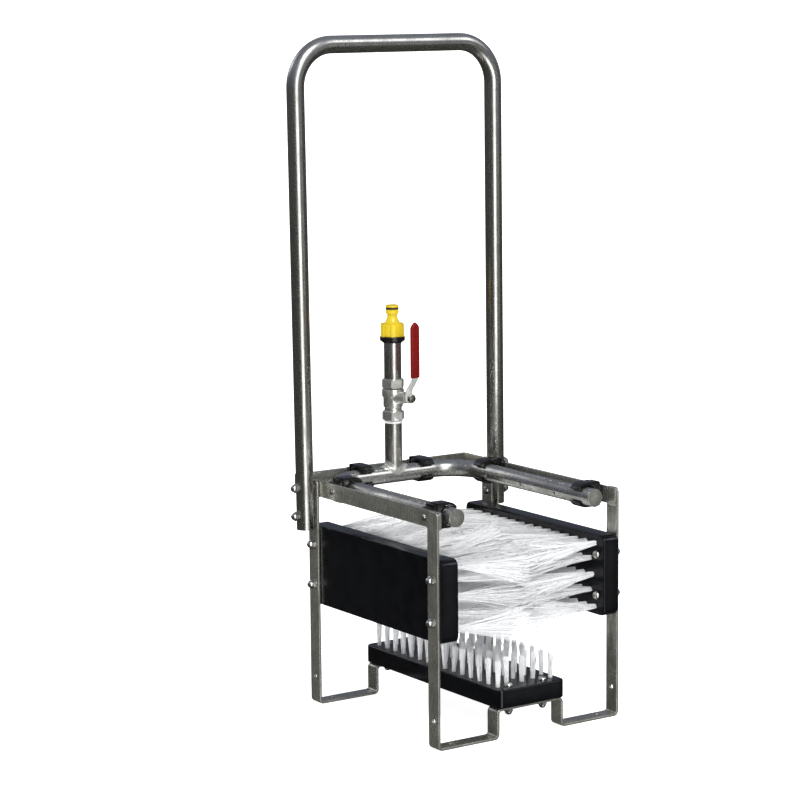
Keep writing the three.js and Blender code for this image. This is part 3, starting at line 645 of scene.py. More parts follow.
hoop_corners = [Vector((x, hoop_back(z), z)) for x, z in (
    (-hoop_foot_x, hoop_low), (-hoop_top_x, hoop_high), (hoop_top_x, hoop_high), (hoop_foot_x, hoop_low))]
hoop = drawn_pipe(hoop_corners, pipe_radius, hoop_bend, pipe_sides, pipe_steps, pipe_wall)
made = finish_piece("handle_hoop_pipe", hoop, "pipe_steel", ["handle_hoop"], bevel=0.3)
print("Hoop:", len(made.data.polygons), "faces")

# %% [markdown]
# ## Spray pipe
#
# The same pipe lies inside the ring as a U, with three holes in each arm that spray the boot and a disc
# welded into each front end. The holes are real: they're cut by small rods, not painted on.

# %% Spray pipe
spray_x, spray_front, spray_back, spray_bend, pipe_height = 99.05, -144.2, 126.35, 46, 265
hole_places, hole_dip, jet_radius, jet_reach = (-81.4, -14.7, 51.9), math.radians(13), 1.8, 15

spray_corners = [Vector((x, y, pipe_height)) for x, y in (
    (-spray_x, spray_front), (-spray_x, spray_back), (spray_x, spray_back), (spray_x, spray_front))]
spray = drawn_pipe(spray_corners, pipe_radius, spray_bend, pipe_sides, pipe_steps, pipe_wall)
jets = []
for side in (-1, 1):
    for y in hole_places:
        start = Vector((side * spray_x, y, pipe_height))
        aim = Vector((-side * math.cos(hole_dip), 0, -math.sin(hole_dip)))
        jets.append(stick(start, start + aim * jet_reach, jet_radius, 24))
finish_piece("spray_pipe_tube", sawn(spray, jets), "pipe_steel", ["spray_pipe"], bevel=0.25)
print("Spray pipe: jets at", hole_places)

# %% Discs in the spray pipe's front ends
for hand, side in hands.items():
    name = hand + "_pipe_cap"
    low, high = box_mm(name)
    place = Matrix.Translation((side * spray_x, high.y, pipe_height)) @ Matrix.Rotation(math.pi / 2, 4, "X")
    thick = high.y - low.y
    cap = lathe([(0, 0), (pipe_radius - 0.1, 0), (pipe_radius, 0.35), (pipe_radius, thick - 0.9),
                 (pipe_radius - 0.35, thick - 0.3), (pipe_radius - 1.2, thick), (0, thick)],
                pipe_sides, place)
    finish_piece(name + "_disc", cap, "bar_steel", [name])
print("Discs:", round(thick, 2), "mm thick")

# %% [markdown]
# ## Riser and outlet
#
# A short pipe stands on the spray pipe and carries the valve, and another leaves the valve at the top.
# The riser's foot is cut to the curve of the pipe below it. White tape is wound on the thread below the
# valve: a thin turned sleeve with an uneven outline looks like its layers.

# %% Riser, outlet and tape
column_y = spray_back
column = Matrix.Translation((0, column_y, 0))
riser_top = box_mm("inlet_riser")[1].z
tape_low, tape_high = (corner.z for corner in box_mm("thread_tape"))
thread_radius, pipe_bore = 9.95, pipe_radius - pipe_wall
saddle_reach, saddle_clear = 40, 0.05

riser = lathe([(pipe_bore, pipe_height), (pipe_radius, pipe_height), (pipe_radius, tape_low - 0.7),
               (pipe_radius - 0.25, tape_low - 0.35), (thread_radius, tape_low - 0.3),
               (thread_radius, riser_top - 1), (thread_radius - 0.5, riser_top), (pipe_bore, riser_top),
               (pipe_bore, pipe_height)], pipe_sides, column)
saddle = stick((-saddle_reach, column_y, pipe_height), (saddle_reach, column_y, pipe_height),
               pipe_radius + saddle_clear, 64)
finish_piece("inlet_riser_pipe", sawn(riser, [saddle]), "pipe_steel", ["inlet_riser"])

outlet_ends = [Vector((0, column_y, corner.z)) for corner in box_mm("outlet_pipe")]
outlet = drawn_pipe(outlet_ends, pipe_radius, 0, pipe_sides, 1, pipe_wall)
finish_piece("outlet_pipe_tube", outlet, "pipe_steel", ["outlet_pipe"], bevel=0.3)

tape_inside, tape_outside, tape_layers = thread_radius + 0.15, pipe_radius + 0.25, 12
draw = random.Random(5)
tape = [(tape_inside, tape_low)]
for layer in range(tape_layers):
    height = tape_low + (tape_high - tape_low) * layer / (tape_layers - 1)
    tape.append((tape_outside + draw.uniform(-0.12, 0.16), height))
tape += [(tape_inside, tape_high), (tape_inside, tape_low)]
finish_piece("thread_tape_wrap", lathe(tape, pipe_sides, column), "seal_white", ["thread_tape"])
print("Riser's top at", round(riser_top, 1), "mm, tape from", round(tape_low, 1), "to", round(tape_high, 1))

# %% [markdown]
# The riser's foot is welded to the pipe below it, and the weld is drawn out into a smooth saddle. Where two
# pipes of the same size cross, the seam rises and falls twice as it goes round. So the saddle is a set of
# rings that follow the lower pipe's surface, each one lower and further out along that pipe than the one
# before. The last two lie below that surface and close the weld, where nobody sees them.

# %% The saddle of weld
# Each ring: how far it lies out from the riser, and how high over the lower pipe
weld_steps = ((0.06, 7.0), (0.25, 4.6), (0.8, 2.8), (1.8, 1.6), (3.4, 0.85), (5.6, 0.4), (8.4, 0.12),
              (8.6, -0.6), (-1.2, -0.9))
weld_sides, weld_hug, rippled_from, rippled_to = 64, 0.3, 0.2, 5
waver = random.Random(3)
ripple = [waver.uniform(-0.12, 0.16) for _ in range(weld_sides)]
weld = bmesh.new()
rings = []
for out, rise in weld_steps:
    ring = []
    for step in range(weld_sides):
        angle = 2 * math.pi * step / weld_sides
        swell = ripple[step] if rippled_from < rise < rippled_to else 0
        y = (pipe_radius + min(out, weld_hug)) * math.sin(angle)
        surface = math.sqrt(max((pipe_radius + weld_hug) ** 2 - y * y, 0))
        x = (pipe_radius + out + swell) * math.cos(angle)
        ring.append(weld.verts.new((x, y, surface + rise + swell)))
    rings.append([weld.edges.new((ring[i], ring[(i + 1) % weld_sides])) for i in range(weld_sides)])
for upper, lower in zip(rings, rings[1:] + rings[:1]):
    bmesh.ops.bridge_loops(weld, edges=upper + lower)
bmesh.ops.translate(weld, verts=weld.verts, vec=(0, column_y, pipe_height))
finish_piece("riser_weld", tidy(weld), "weld_steel", [], corner=80)
print("Weld saddle:", len(rings), "rings")

# %% [markdown]
# ## Pipe clips
#
# Six black plastic clips snap over the spray pipe. Seen along the pipe, each is a D: a springy jaw whose
# two rounded lips leave a mouth, a flat back, and a foot that is screwed to the rail. That D is drawn as
# one outline and pushed to the clip's length, and a groove is cut round the body behind the jaw.

# %% One clip, drawn with the pipe along Z and the foot towards +X
clip_length, clip_inner, clip_wall, clip_rise = 16, 11.9, 2.75, 0.95
clip_mouth, clip_back, clip_foot, clip_foot_height = math.radians(142), 20, 24.35, 20
clip_corner, lip_swell = 1.6, 0.15
groove_place, groove_width, groove_depth = 16.7, 3, 1.6
groove_across, groove_along = 60, 40


def arc(radius, first, last, steps, centre=(0, 0)):
    angles = [first + (last - first) * step / steps for step in range(steps + 1)]
    return [(centre[0] + radius * math.cos(a), centre[1] + radius * math.sin(a)) for a in angles]


def clip_shape():
    outer, quarter = clip_inner + clip_wall, math.pi / 2
    middle = clip_inner + clip_wall / 2
    lip = (middle * math.cos(clip_mouth), middle * math.sin(clip_mouth))
    half = arc(clip_wall / 2 + lip_swell, clip_mouth + 2 * quarter, clip_mouth, 10, lip)
    half += arc(outer, clip_mouth, quarter, 14)[1:]
    half += arc(clip_corner, quarter, 0, 4, (clip_back - clip_corner, outer - clip_corner))
    half += [(clip_back, clip_foot_height / 2), (clip_foot, clip_foot_height / 2)]
    bore = arc(clip_inner, -clip_mouth, clip_mouth, 44)[1:-1]
    outline = half + [(x, -y) for x, y in reversed(half)] + bore
    body = bmesh.new()
    points = [body.verts.new((x, y + clip_rise, -clip_length / 2)) for x, y in outline]
    pushed = bmesh.ops.extrude_face_region(body, geom=[body.faces.new(points)])["geom"]
    bmesh.ops.translate(body, verts=only(bmesh.types.BMVert, pushed), vec=(0, 0, clip_length))
    fill_ends(body)
    tidy(body)
    grooves = []
    for side in (-1, 1):
        grooves.append(block((groove_width, groove_across, 2 * groove_depth),
                             (groove_place, 0, side * clip_length / 2)))
        grooves.append(block((groove_width, 2 * groove_depth, groove_along),
                             (groove_place, clip_rise + side * outer, 0)))
    return sawn(body, grooves)


# %% Its screw, along +X with the head on the rail's outer face
screw_flats, screw_head_low, screw_head_height, screw_chamfer = 6.2, 0.4, 1.9, 0.35


def screw_shape(seat):
    shank, washer = [lathe([(radius, seat + height) for radius, height in outline], sides)
                     for outline, sides in (
                         ([(0, -9.8), (1.2, -9.6), (2, -8.4), (2, 0.6), (0, 0.6)], 20),
                         ([(0, 0.05), (4, 0.05), (4, 0.5), (3.7, 0.75), (0, 0.75)], 32))]
    head_low = seat + screw_head_low
    head = hexagon(screw_flats, head_low, head_low + screw_head_height, screw_chamfer)
    screw = sawn(shank, [washer, head], "UNION")
    bmesh.ops.rotate(screw, verts=screw.verts, cent=(0, 0, 0), matrix=Matrix.Rotation(math.pi / 2, 3, "Y"))
    return screw


def copied(mesh, place):
    shape = bmesh.new()
    shape.from_mesh(mesh)
    bmesh.ops.transform(shape, matrix=place, verts=shape.verts)
    return shape


clip_to_rail = 0.3
clip_mesh = kept(clip_shape(), "clip_template")
screw_mesh = kept(screw_shape(clip_foot + clip_to_rail + bar_thick), "screw_template")
print("Clip and screw:", len(clip_mesh.polygons), "and", len(screw_mesh.polygons), "faces")

# %% The six clips
clip_places = {}
for end in frame_places:
    for hand, side in hands.items():
        clip_places[f"{hand}_{end}"] = ((side, 0), (side * spray_x, middle_of(f"left_{end}_clip").y))
for hand, side in hands.items():
    clip_places["back_" + hand] = ((0, 1), (side * abs(middle_of("back_left_clip").x), spray_back))

up = Vector((0, 0, 1))
for name, (towards, (x, y)) in clip_places.items():
    out = Vector((*towards, 0))
    place = Matrix.Translation((x, y, pipe_height)) @ turned(out, up, out.cross(up))
    finish_piece(name + "_clip_moulding", copied(clip_mesh, place), "black_moulding", [name + "_clip"],
                 bevel=0.7, bevel_steps=3)
    finish_piece(name + "_clip_hex_screw", copied(screw_mesh, place), "bright_zinc",
                 [name + "_clip_screw"])
print("Clips:", len(clip_places))

# %% [markdown]
# ## Bolts with dome nuts
#
# Twelve bolts hold the brushes and four hold the hoop. A dome nut is a hexagon with a cap over the
# thread, and the head on the other side is a low button. Both are turned shapes. One template per length
# is enough, and it is put wherever the CAD model has a bolt.

# %% A bolt with its dome nut
button_radius, button_height, socket_flats, socket_depth = 5, 3.5, 3.4, 1.9
shank_radius, shank_top = 3, -3.2
dome_nut_height, dome_radius, nut_flats, nut_height, nut_chamfer = 8.5, 4.5, 9.8, 4.5, 0.5
washer_radius, washer_thick = 5.6, 0.28


def dome_bolt(length):
    """A bolt along +Z: the head's top is at zero and the dome ends at minus the length"""
    nut_face = -length + dome_nut_height
    inside = nut_face - 2
    head = lathe([(0, -button_height), (button_radius, -button_height), (button_radius, -2.9),
                  (4.6, -1.7), (3.7, -0.75), (2.3, -0.15), (0, 0)], 32)
    socket = hexagon(socket_flats, -socket_depth, 1)
    shank = lathe([(0, inside), (shank_radius, inside), (shank_radius, shank_top), (0, shank_top)], 24)
    nut = hexagon(nut_flats, nut_face - nut_height, nut_face, nut_chamfer)
    cap = [(dome_radius * math.sin(a), -length + dome_radius - dome_radius * math.cos(a))
           for a in [math.radians(step * 15) for step in range(1, 7)]]
    dome = lathe([(0, -length)] + cap + [(dome_radius, inside), (0, inside)], 32)
    washer_top = nut_face + washer_thick
    washer = lathe([(0, nut_face), (washer_radius, nut_face), (washer_radius, washer_top),
                    (0, washer_top)], 32)
    return sawn(sawn(head, [socket]), [shank, nut, dome, washer], "UNION")


# %% The sixteen bolts
bolt_names = sorted(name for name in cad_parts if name.endswith("_bolt"))
bolt_meshes = {}
for name in bolt_names:
    low, high = box_mm(name)
    size, centre = high - low, (low + high) / 2
    axis = max(range(3), key=lambda i: size[i])
    length = round(size[axis], 2)
    if length not in bolt_meshes:
        bolt_meshes[length] = kept(dome_bolt(length), "bolt_template")
    if axis == 2:
        place = Matrix.Translation((centre.x, centre.y, high.z))
    else:
        side = 1 if centre.x > 0 else -1
        head_x = low.x if side > 0 else high.x
        turn = Matrix.Rotation(-side * math.pi / 2, 4, "Y")
        place = Matrix.Translation((head_x, centre.y, centre.z)) @ turn
    finish_piece(name + "_dome_nut", copied(bolt_meshes[length], place), "bright_zinc", [name], bevel=0.18)
print("Bolts:", len(bolt_names), "of lengths", sorted(bolt_meshes))

# %% [markdown]
# ## Brush blocks
#
# Each brush is a slab of black plastic with rounded corners and softly broken edges. It starts as a box:
# four edges get the plan's corner radius, then every edge a small one. The bolts pass straight through
# it, so no holes are drilled that nobody could see. The left block has a small dent at its front end.

# %% Brush blocks
block_corner, block_edge = 8, 2
brush_faces = {"left": -104.7, "right": 104.7, "sole": 58.3}
dent_place = Vector((-122.4, -156.5, 214))

for name, thin in (("left", 0), ("right", 0), ("sole", 2)):
    low, high = box_mm(name + "_brush_block")
    inner = high if name != "right" else low
    inner[thin] = brush_faces[name]
    slab = block(high - low, (low + high) / 2)
    round_off(slab, edges_along(slab, thin), block_corner)
    tidy(slab)
    if name == "left":
        dent = lathe([(0, -1.1), (0.7, -0.9), (1.4, -0.2), (1.7, 0.5), (0, 0.5)], 20,
                     Matrix.Translation(dent_place) @ Matrix.Rotation(math.pi / 2, 4, "X"))
        slab = sawn(slab, [dent])
    finish_piece(name + "_brush_slab", slab, "black_block", [name + "_brush_block"],
                 bevel=block_edge, bevel_steps=4)
    print(name, "block:", [round(side, 1) for side in high - low], "mm")

# %% [markdown]
# ## Bristles
#
# Every brush has 72 tufts of stiff white nylon filament in five staggered rows. At the sides the
# filaments are long, so they fan out and sag. On the sole brush they're short, a little thicker and almost
# level. Hair particles would need a modifier on each block. Here a tuft is drawn filament by filament,
# eight different tufts are kept as templates, and their copies are planted in the block, each turned and
# leaned its own way.

# %% A filament and a tuft
root_depth, parting, wave_turns = 1.5, 1.4, 5.2
unruly_share, unruly_curl = 0.15, 2.4
outer_part, own_part, longer_part = 0.55, (-0.2, 0.75), 0.7


def push_on(shape, face, step, first):
    """Pushes an end face on by a step, and only the first one stays behind, to close the start"""
    pulled = bmesh.ops.extrude_face_region(shape, geom=[face])["geom"]
    if not first:
        bmesh.ops.delete(shape, geom=[face], context="FACES_ONLY")
    points = only(bmesh.types.BMVert, pulled)
    bmesh.ops.translate(shape, verts=points, vec=step)
    return only(bmesh.types.BMFace, pulled)[0], points


def filament(shape, points, radius):
    """A thin three-sided rod through a row of points"""
    ring = bmesh.ops.create_circle(shape, cap_ends=True, segments=3, radius=radius,
                                   matrix=Matrix.Translation(points[0]))["verts"]
    face = [face for face in ring[0].link_faces if all(vert in ring for vert in face.verts)][0]
    for number, (here, there) in enumerate(zip(points, points[1:])):
        face, _ = push_on(shape, face, there - here, first=number == 0)


def tuft(seed, count, length, root_spread, tip_spread, radius, curl, uneven, joints=4):
    """Filaments that leave the block side by side and part more and more towards their tips"""
    draw = random.Random(seed)
    shape = bmesh.new()
    for _ in range(count):
        angle, out = draw.uniform(0, 2 * math.pi), math.sqrt(draw.random())
        aim = Vector((math.cos(angle), math.sin(angle), 0))
        apart = (tip_spread - root_spread) * (out * outer_part + draw.uniform(*own_part))
        bow = Vector((draw.uniform(-1, 1), draw.uniform(-1, 1), 0)) * curl
        aside = bow * (unruly_curl if draw.random() < unruly_share else 1)
        reach = length + draw.uniform(-uneven, uneven * longer_part)
        phase, points = draw.uniform(0, 6), []
        for joint in range(joints + 1):
            share = joint / joints
            flat = aim * (root_spread * out + apart * share ** parting)
            wave = aside * share * math.sin(phase + wave_turns * share)
            points.append(flat + wave + Vector((0, 0, -root_depth + (reach + root_depth) * share)))
        filament(shape, points, radius)
    return kept(shape, "tuft_template")


tuft_kinds = 8
side_length, sole_length = 99.0, 30.0
side_tufts = [tuft(20 + kind, count=96, length=side_length, root_spread=2.7, tip_spread=17.5,
                   radius=0.20, curl=2.0, uneven=14.0) for kind in range(tuft_kinds)]
sole_tufts = [tuft(40 + kind, count=70, length=sole_length, root_spread=2.4, tip_spread=3.8,
                   radius=0.22, curl=0.5, uneven=2.6) for kind in range(tuft_kinds)]
print("Faces in a side tuft:", len(side_tufts[0].polygons))

# %% [markdown]
# Each row stands a quarter or half of a pitch along from the rows beside it. The left brush's tufts lean
# further than the right one's, as the photograph shows. A few strands would then reach past the frame,
# and these are bent back softly.

# %% Planting the tufts
row_places = (-38, -19, 0, 19, 38)
row_shares = (0, 0.5, 0.25, 0.5, 0)
tuft_pitch, tufts_in_row, row_reach = 17.5, 15, 122
strands_front, strands_rear = -150, 115
side_middle, brush_middle = 172, -17.5
tip_sag = 3


def sag(brush, face, length):
    """Filaments sag under their own weight, most at the tips"""
    for vert in brush.verts:
        reach = max(0.0, (face - abs(vert.co.x)) / length)
        vert.co.z -= tip_sag * reach * reach


def held_back(brush, first, last, give=5):
    """Strands that lean out past the first or last place along Y are bent back"""
    for vert in brush.verts:
        for limit, way in ((first, -1), (last, 1)):
            beyond = (vert.co.y - limit) * way
            if beyond > 0:
                vert.co.y = limit + way * give * (1 - math.exp(-beyond / give))


def planted(tufts, place, fan, loose, seed):
    """Plants tufts in rows: fan leans the outer ones out, loose lets each lean its own way, in radians"""
    draw = random.Random(seed)
    brush = bmesh.new()
    for across, share in zip(row_places, row_shares):
        count = tufts_in_row - 1 if share else tufts_in_row
        for number in range(count):
            along = (number + share - (tufts_in_row - 1) / 2) * tuft_pitch
            lean = Matrix.Rotation(fan[1] * across / row_places[-1] + draw.uniform(-loose, loose), 4, "X")
            tilt = Matrix.Rotation(fan[0] * along / row_reach + draw.uniform(-loose, loose), 4, "Y")
            spin = Matrix.Rotation(draw.uniform(0, 2 * math.pi), 4, "Z")
            mesh = tufts[draw.randrange(len(tufts))].copy()
            mesh.transform(Matrix.Translation((along, across, 0)) @ tilt @ lean @ spin)
            brush.from_mesh(mesh)
            bpy.data.meshes.remove(mesh)
    bmesh.ops.transform(brush, matrix=place, verts=brush.verts)
    bmesh.ops.recalc_face_normals(brush, faces=brush.faces)
    held_back(brush, strands_front, strands_rear)
    return brush


for name, loose, seed in (("left", 0.18, 7), ("right", 0.07, 8)):
    side = hands[name]
    place = (Matrix.Translation((brush_faces[name], brush_middle, side_middle))
             @ turned(Vector((0, 1, 0)), Vector((0, 0, -side)), Vector((-side, 0, 0))))
    brush = planted(side_tufts, place, fan=(0.02, 0), loose=loose, seed=seed)
    sag(brush, brush_faces["right"], side_length)
    made = finish_piece(name + "_filaments", brush, "side_nylon", [name + "_bristles"])
    print(name, "brush:", len(made.data.polygons), "faces")

place = (Matrix.Translation((0, brush_middle, brush_faces["sole"]))
         @ turned(Vector((0, 1, 0)), Vector((-1, 0, 0)), Vector((0, 0, 1))))
brush = planted(sole_tufts, place, fan=(0.01, -0.01), loose=0.07, seed=9)
made = finish_piece("sole_filaments", brush, "sole_nylon", ["sole_bristles"])
print("sole brush:", len(made.data.polygons), "faces")

# %% [markdown]
# ## Ball valve
#
# The body is cast brass with a hexagon at each end for the wrench, a round barrel between them and a
# boss on the side for the stem. The barrel and hexagons stand on one upright axis, so they are turned in
# parts about that axis and joined. The boss, the gland nut and the lever's nut lie on the stem's axis,
# which points to the front and a little to the right.

# %% Valve body and end piece
ball_height, stem_angle = 361.1, math.radians(-72)
valve_axes = Matrix.Translation((0, column_y, ball_height)) @ Matrix.Rotation(stem_angle, 4, "Z")
stem_axes = valve_axes @ Matrix.Rotation(math.pi / 2, 4, "Y")
valve_flats, valve_chamfer, thread_bore, water_bore, ball_bore, stem_bore = 25, 1.7, 10.95, 6.5, 10.5, 3.3
casting_edges = {"bevel": 0.5, "bevel_steps": 3}


def valve_piece(name, shape, axes, finish, nodes, **rest):
    """Puts a shape on the valve's, the stem's or the column's axes and finishes it"""
    bmesh.ops.transform(shape, matrix=axes, verts=shape.verts)
    bmesh.ops.recalc_face_normals(shape, faces=shape.faces)
    return finish_piece(name, shape, finish, nodes, **rest)


def upright_rod(radius, low, high, sides=48):
    return stick((0, 0, low), (0, 0, high), radius, sides)


barrel = lathe([(0, -18), (10.6, -18), (10.6, -13.2), (10.75, -12.7), (11.3, -12.2), (11.8, -11.6),
                (12, -10.8), (12, -1.2), (12.15, -0.4), (12.7, 0.2), (13.2, 0.6), (13.5, 1.4), (13.5, 8.6),
                (13.3, 9.5), (12.7, 10.05), (12, 10.2), (0, 10.2)], 64)
boss = lathe([(0, 0), (9.6, 0), (9.6, 9.8), (9.2, 10.7), (8.4, 12), (7.8, 14), (7.3, 17), (6.8, 19.6),
              (6.5, 20.4), (6.1, 20.6), (0, 20.6)], 48, Matrix.Rotation(math.pi / 2, 4, "Y"))
body = sawn(barrel, [hexagon(valve_flats, -29.1, -16.7, valve_chamfer), boss], "UNION")
body = sawn(body, [upright_rod(thread_bore, -32, -18.4), upright_rod(water_bore, -20, 12, 40),
                   upright_rod(ball_bore, -10.2, 12), stick((10, 0, 0), (24, 0, 0), stem_bore, 24)])
valve_piece("valve_body_casting", body, valve_axes, "plated_cast_brass", ["valve_body"], **casting_edges)

end = sawn(hexagon(valve_flats, 10.5, 22.9, valve_chamfer), [upright_rod(thread_bore, 12.5, 30)])
end = sawn(end, [upright_rod(water_bore, 5, 30)])
valve_piece("valve_end_casting", end, valve_axes, "plated_cast_brass", ["valve_end"], **casting_edges)

gland = sawn(hexagon(flats=11, low=20.9, high=23.3, chamfer=0.35), [upright_rod(stem_bore, 10, 30)])
valve_piece("gland_hexagon", gland, stem_axes, "plated_cast_brass", ["gland_nut"], bevel=0.12)
print("Valve hexagons:", valve_flats, "mm across flats")

# %% [markdown]
# The lever is a plated steel strip that is bent out of the way of the hexagon, and it is rounded round the
# stem. The red sleeve is dipped vinyl: flat with soft edges, and its end runs into a blunt point. The
# lever, its sleeve and its nut turn with the stem, so they ride on the lever's own body.

# %% Lever and its nut
lever_inner, lever_thick, lever_width, lever_bend, crank = 24.7, 2.2, 11, 3, 9.7
lever_foot, lever_foot_round = -6.5, 4.8
lever_middle = lever_inner + crank
lever_route = [Vector((x, 0, z)) for x, z in (
    (lever_inner, lever_foot), (lever_inner, 9), (lever_middle, 24.5), (lever_middle, 87.6))]
strip = drawn_bar(lever_route, Vector((0, 1, 0)), lever_width, lever_thick, lever_bend, bend_steps)
round_off(strip, [edge for edge in edges_along(strip, 0)
                  if all(vert.co.z < lever_foot + touching for vert in edge.verts)], lever_foot_round)
strip = sawn(strip, [stick((10, 0, 0), (32, 0, 0), stem_bore, 28)])
valve_piece("valve_lever_strip", strip, valve_axes, "dull_zinc", ["valve_lever"], body="lever", bevel=0.35)

nut = sawn(hexagon(flats=10, low=26.1, high=31.1, chamfer=0.5), [upright_rod(stem_bore, 20, 36)])
valve_piece("lever_hex_nut", nut, stem_axes, "bright_zinc", ["lever_nut"], body="lever", bevel=0.12)
print("Lever:", lever_width, "by", lever_thick, "mm strip")

# %% Sleeve
# Its section is a softened rectangle. Each ring has a height, a share of the thickness and one of the width
sleeve_thick, sleeve_wide, thick_power, wide_power = 2.9, 7.7, 0.7, 0.8
pocket_size, pocket_height = (2.8, 11.6, 62), 56.9
sleeve_rings = ((26, 0.9, 0.95), (26.7, 1, 1), (56, 1, 1), (86.6, 1, 1), (88, 0.93, 0.96),
                (89.6, 0.8, 0.83), (91.4, 0.62, 0.58), (93, 0.4, 0.32), (93.9, 0.2, 0.14))
sleeve_foot, foot_thin, foot_slim = sleeve_rings[0]


def softened(value, power):
    return math.copysign(abs(value) ** power, value)


sleeve = bmesh.new()
made = bmesh.ops.create_circle(sleeve, cap_ends=True, segments=48, radius=1, matrix=Matrix())
for vert in made["verts"]:
    x, y = vert.co.x, vert.co.y
    vert.co = Vector((softened(x, thick_power) * sleeve_thick * foot_thin + lever_middle,
                      softened(y, wide_power) * sleeve_wide * foot_slim, sleeve_foot))
face = sleeve.faces[:][0]
for (low, thin, slim), (high, thin_next, slim_next) in zip(sleeve_rings, sleeve_rings[1:]):
    face, points = push_on(sleeve, face, (0, 0, high - low), first=low == sleeve_foot)
    centre = Matrix.Translation((-lever_middle, 0, -high))
    bmesh.ops.scale(sleeve, verts=points, vec=(thin_next / thin, slim_next / slim, 1), space=centre)
tidy(sleeve)
pocket = block(pocket_size, (lever_middle, 0, pocket_height))
valve_piece("lever_sleeve_vinyl", sawn(sleeve, [pocket]), valve_axes, "red_dipped_vinyl", ["lever_sleeve"],
            body="lever")
print("Sleeve ends", sleeve_rings[-1][0], "mm from the stem")

# %% [markdown]
# ## Ring nut and hose connector
#
# At the top a black ring nut flares out under the yellow connector, whose six grips let it be turned by
# hand. Above them a hollow cone leads to the neck, the collar that the hose catches on, and the tip with
# its rubber ring.

# %% Ring nut
def grips(count, width, low, high, inner, outer):
    """Bars that stand round the axis"""
    bars = []
    for number in range(count):
        bar = block((outer - inner, width, high - low), ((outer + inner) / 2, 0, (low + high) / 2))
        bmesh.ops.rotate(bar, verts=bar.verts, cent=(0, 0, 0),
                         matrix=Matrix.Rotation(2 * math.pi * number / count, 3, "Z"))
        bars.append(bar)
    return bars


notches = {"count": 16, "width": 2.0, "low": 429, "high": 440, "inner": 14.6, "outer": 16.8}
ring = lathe([(thread_bore, 428.3), (12.2, 428.3), (12.6, 428.7), (12.7, 429.7), (13.5, 430.2),
              (14.9, 430.4), (15.4, 431.1), (15.4, 434.9), (15.0, 435.5), (14.3, 435.7),
              (thread_bore, 435.7), (thread_bore, 428.3)], 72)
valve_piece("ring_nut_moulding", sawn(ring, grips(**notches)), column, "black_nut_moulding", ["ring_nut"],
            bevel=0.35)
print("Ring nut:", notches["count"], "notches")

# %% Hose connector and its rubber ring
foot, cone_foot, spout_bore = 436, 451.7, 4.4
ribs = {"count": 6, "width": 5, "low": foot, "high": cone_foot - 0.2, "inner": 8, "outer": 14.8}
shell = lathe([(0, foot), (12.9, foot), (12.9, cone_foot - 1.2), (12.6, cone_foot - 0.5),
               (11.8, cone_foot - 0.05), (10.5, cone_foot), (10.1, 452.1), (9.4, 452.9), (8.1, 454.9),
               (7.35, 456.3), (6.85, 457.8), (6.4, 458.5), (6.3, 459.2), (6.3, 463.1), (6.5, 463.4),
               (7.6, 463.45), (7.9, 463.8), (7.9, 468.3), (7.6, 468.65), (6.1, 468.7), (5.7, 468.9),
               (5.7, 471.1), (6.1, 471.3), (7.6, 471.35), (7.9, 471.7), (7.9, 473.5), (7.2, 474.2),
               (0, 474.2)], 64)
shell = sawn(shell, grips(**ribs), "UNION")
shell = sawn(shell, [upright_rod(thread_bore, 430, 447.7), upright_rod(spout_bore, 430, 480, 40)])
valve_piece("hose_connector_moulding", shell, column, "yellow_moulding", ["hose_connector"],
            bevel=0.6, bevel_steps=3)

seal_middle, seal_height, seal_radius = 7.1, 470, 1.1
seal = lathe(arc(seal_radius, 0, 2 * math.pi, 12, (seal_middle, seal_height)), 48)
valve_piece("connector_seal", seal, column, "black_seal_rubber", ["connector_o_ring"])
print("Connector:", ribs["count"], "grips")

# %% [markdown]
# ## What stays from the CAD model
#
# The ball, its seats, the stem and the washer sit inside the valve and the nut. Their CAD shapes are
# right, so they only get a finish.

# %% Finishes for the hidden pieces
hidden = {"valve_ball": "bright_zinc", "valve_stem": "bright_zinc", "lower_ball_seat": "seal_white",
          "upper_ball_seat": "seal_white", "sealing_washer": "black_seal_rubber"}
for name, finish in hidden.items():
    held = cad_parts[name]
    if not held.material_slots:
        held.data.materials.append(finishes[finish])
    for entry in held.material_slots:
        entry.material = finishes[finish]
print("Kept from the CAD model:", ", ".join(hidden))

# %% [markdown]
# ## Studio
#
# The photograph has a pure white background and hardly a shadow, so the floor glows and soft light
# comes from everywhere, with one broad sun in front. Polished pipes are different: they show what
# surrounds them. Their thin bright lines can only come from narrow lights in dark surroundings, and where
# each line lies on its pipe gives that light's direction. Lamps could stand there, but a drawn sky keeps
# them out of the way.

# %% Floor and sun
floor_half, floor_glow = 600, 0.85
sun_direction, sun_strength, sun_width, sun_colour = (-0.156, -0.672, 0.724), 2.1, 12, (1.0, 0.99, 0.96)

floor_mesh = bmesh.new()
bmesh.ops.create_grid(floor_mesh, x_segments=4, y_segments=4, size=floor_half)
floor = as_object(floor_mesh, "studio_floor")
tree, shader = start_finish("pale_floor", {"Roughness": 0.8, "Emission Color": (1, 1, 1, 1),
                                           "Emission Strength": floor_glow})
pale = shades(tree, noise(tree, place_of(tree), 3), (0.3, (0.90, 0.90, 0.90)), (0.7, (0.93, 0.93, 0.93)))
tree.links.new(pale, shader.inputs["Base Color"])
floor.data.materials.append(finishes["pale_floor"])
floor.visible_glossy = False

sun_light = bpy.data.lights.new("sun", "SUN")
sun_light.energy, sun_light.angle, sun_light.color = sun_strength, math.radians(sun_width), sun_colour
put_in_scene("sun", sun_light).matrix_world = facing(sun_direction)
print("Sun", round(math.degrees(math.asin(sun_direction[2]))), "degrees high")

# %% [markdown]
# The sky has three faces. A ray that left a shiny surface sees a dark room with narrow lights, the camera
# sees pure white, and every other ray meets a soft, even light. The Light Path node tells them apart.

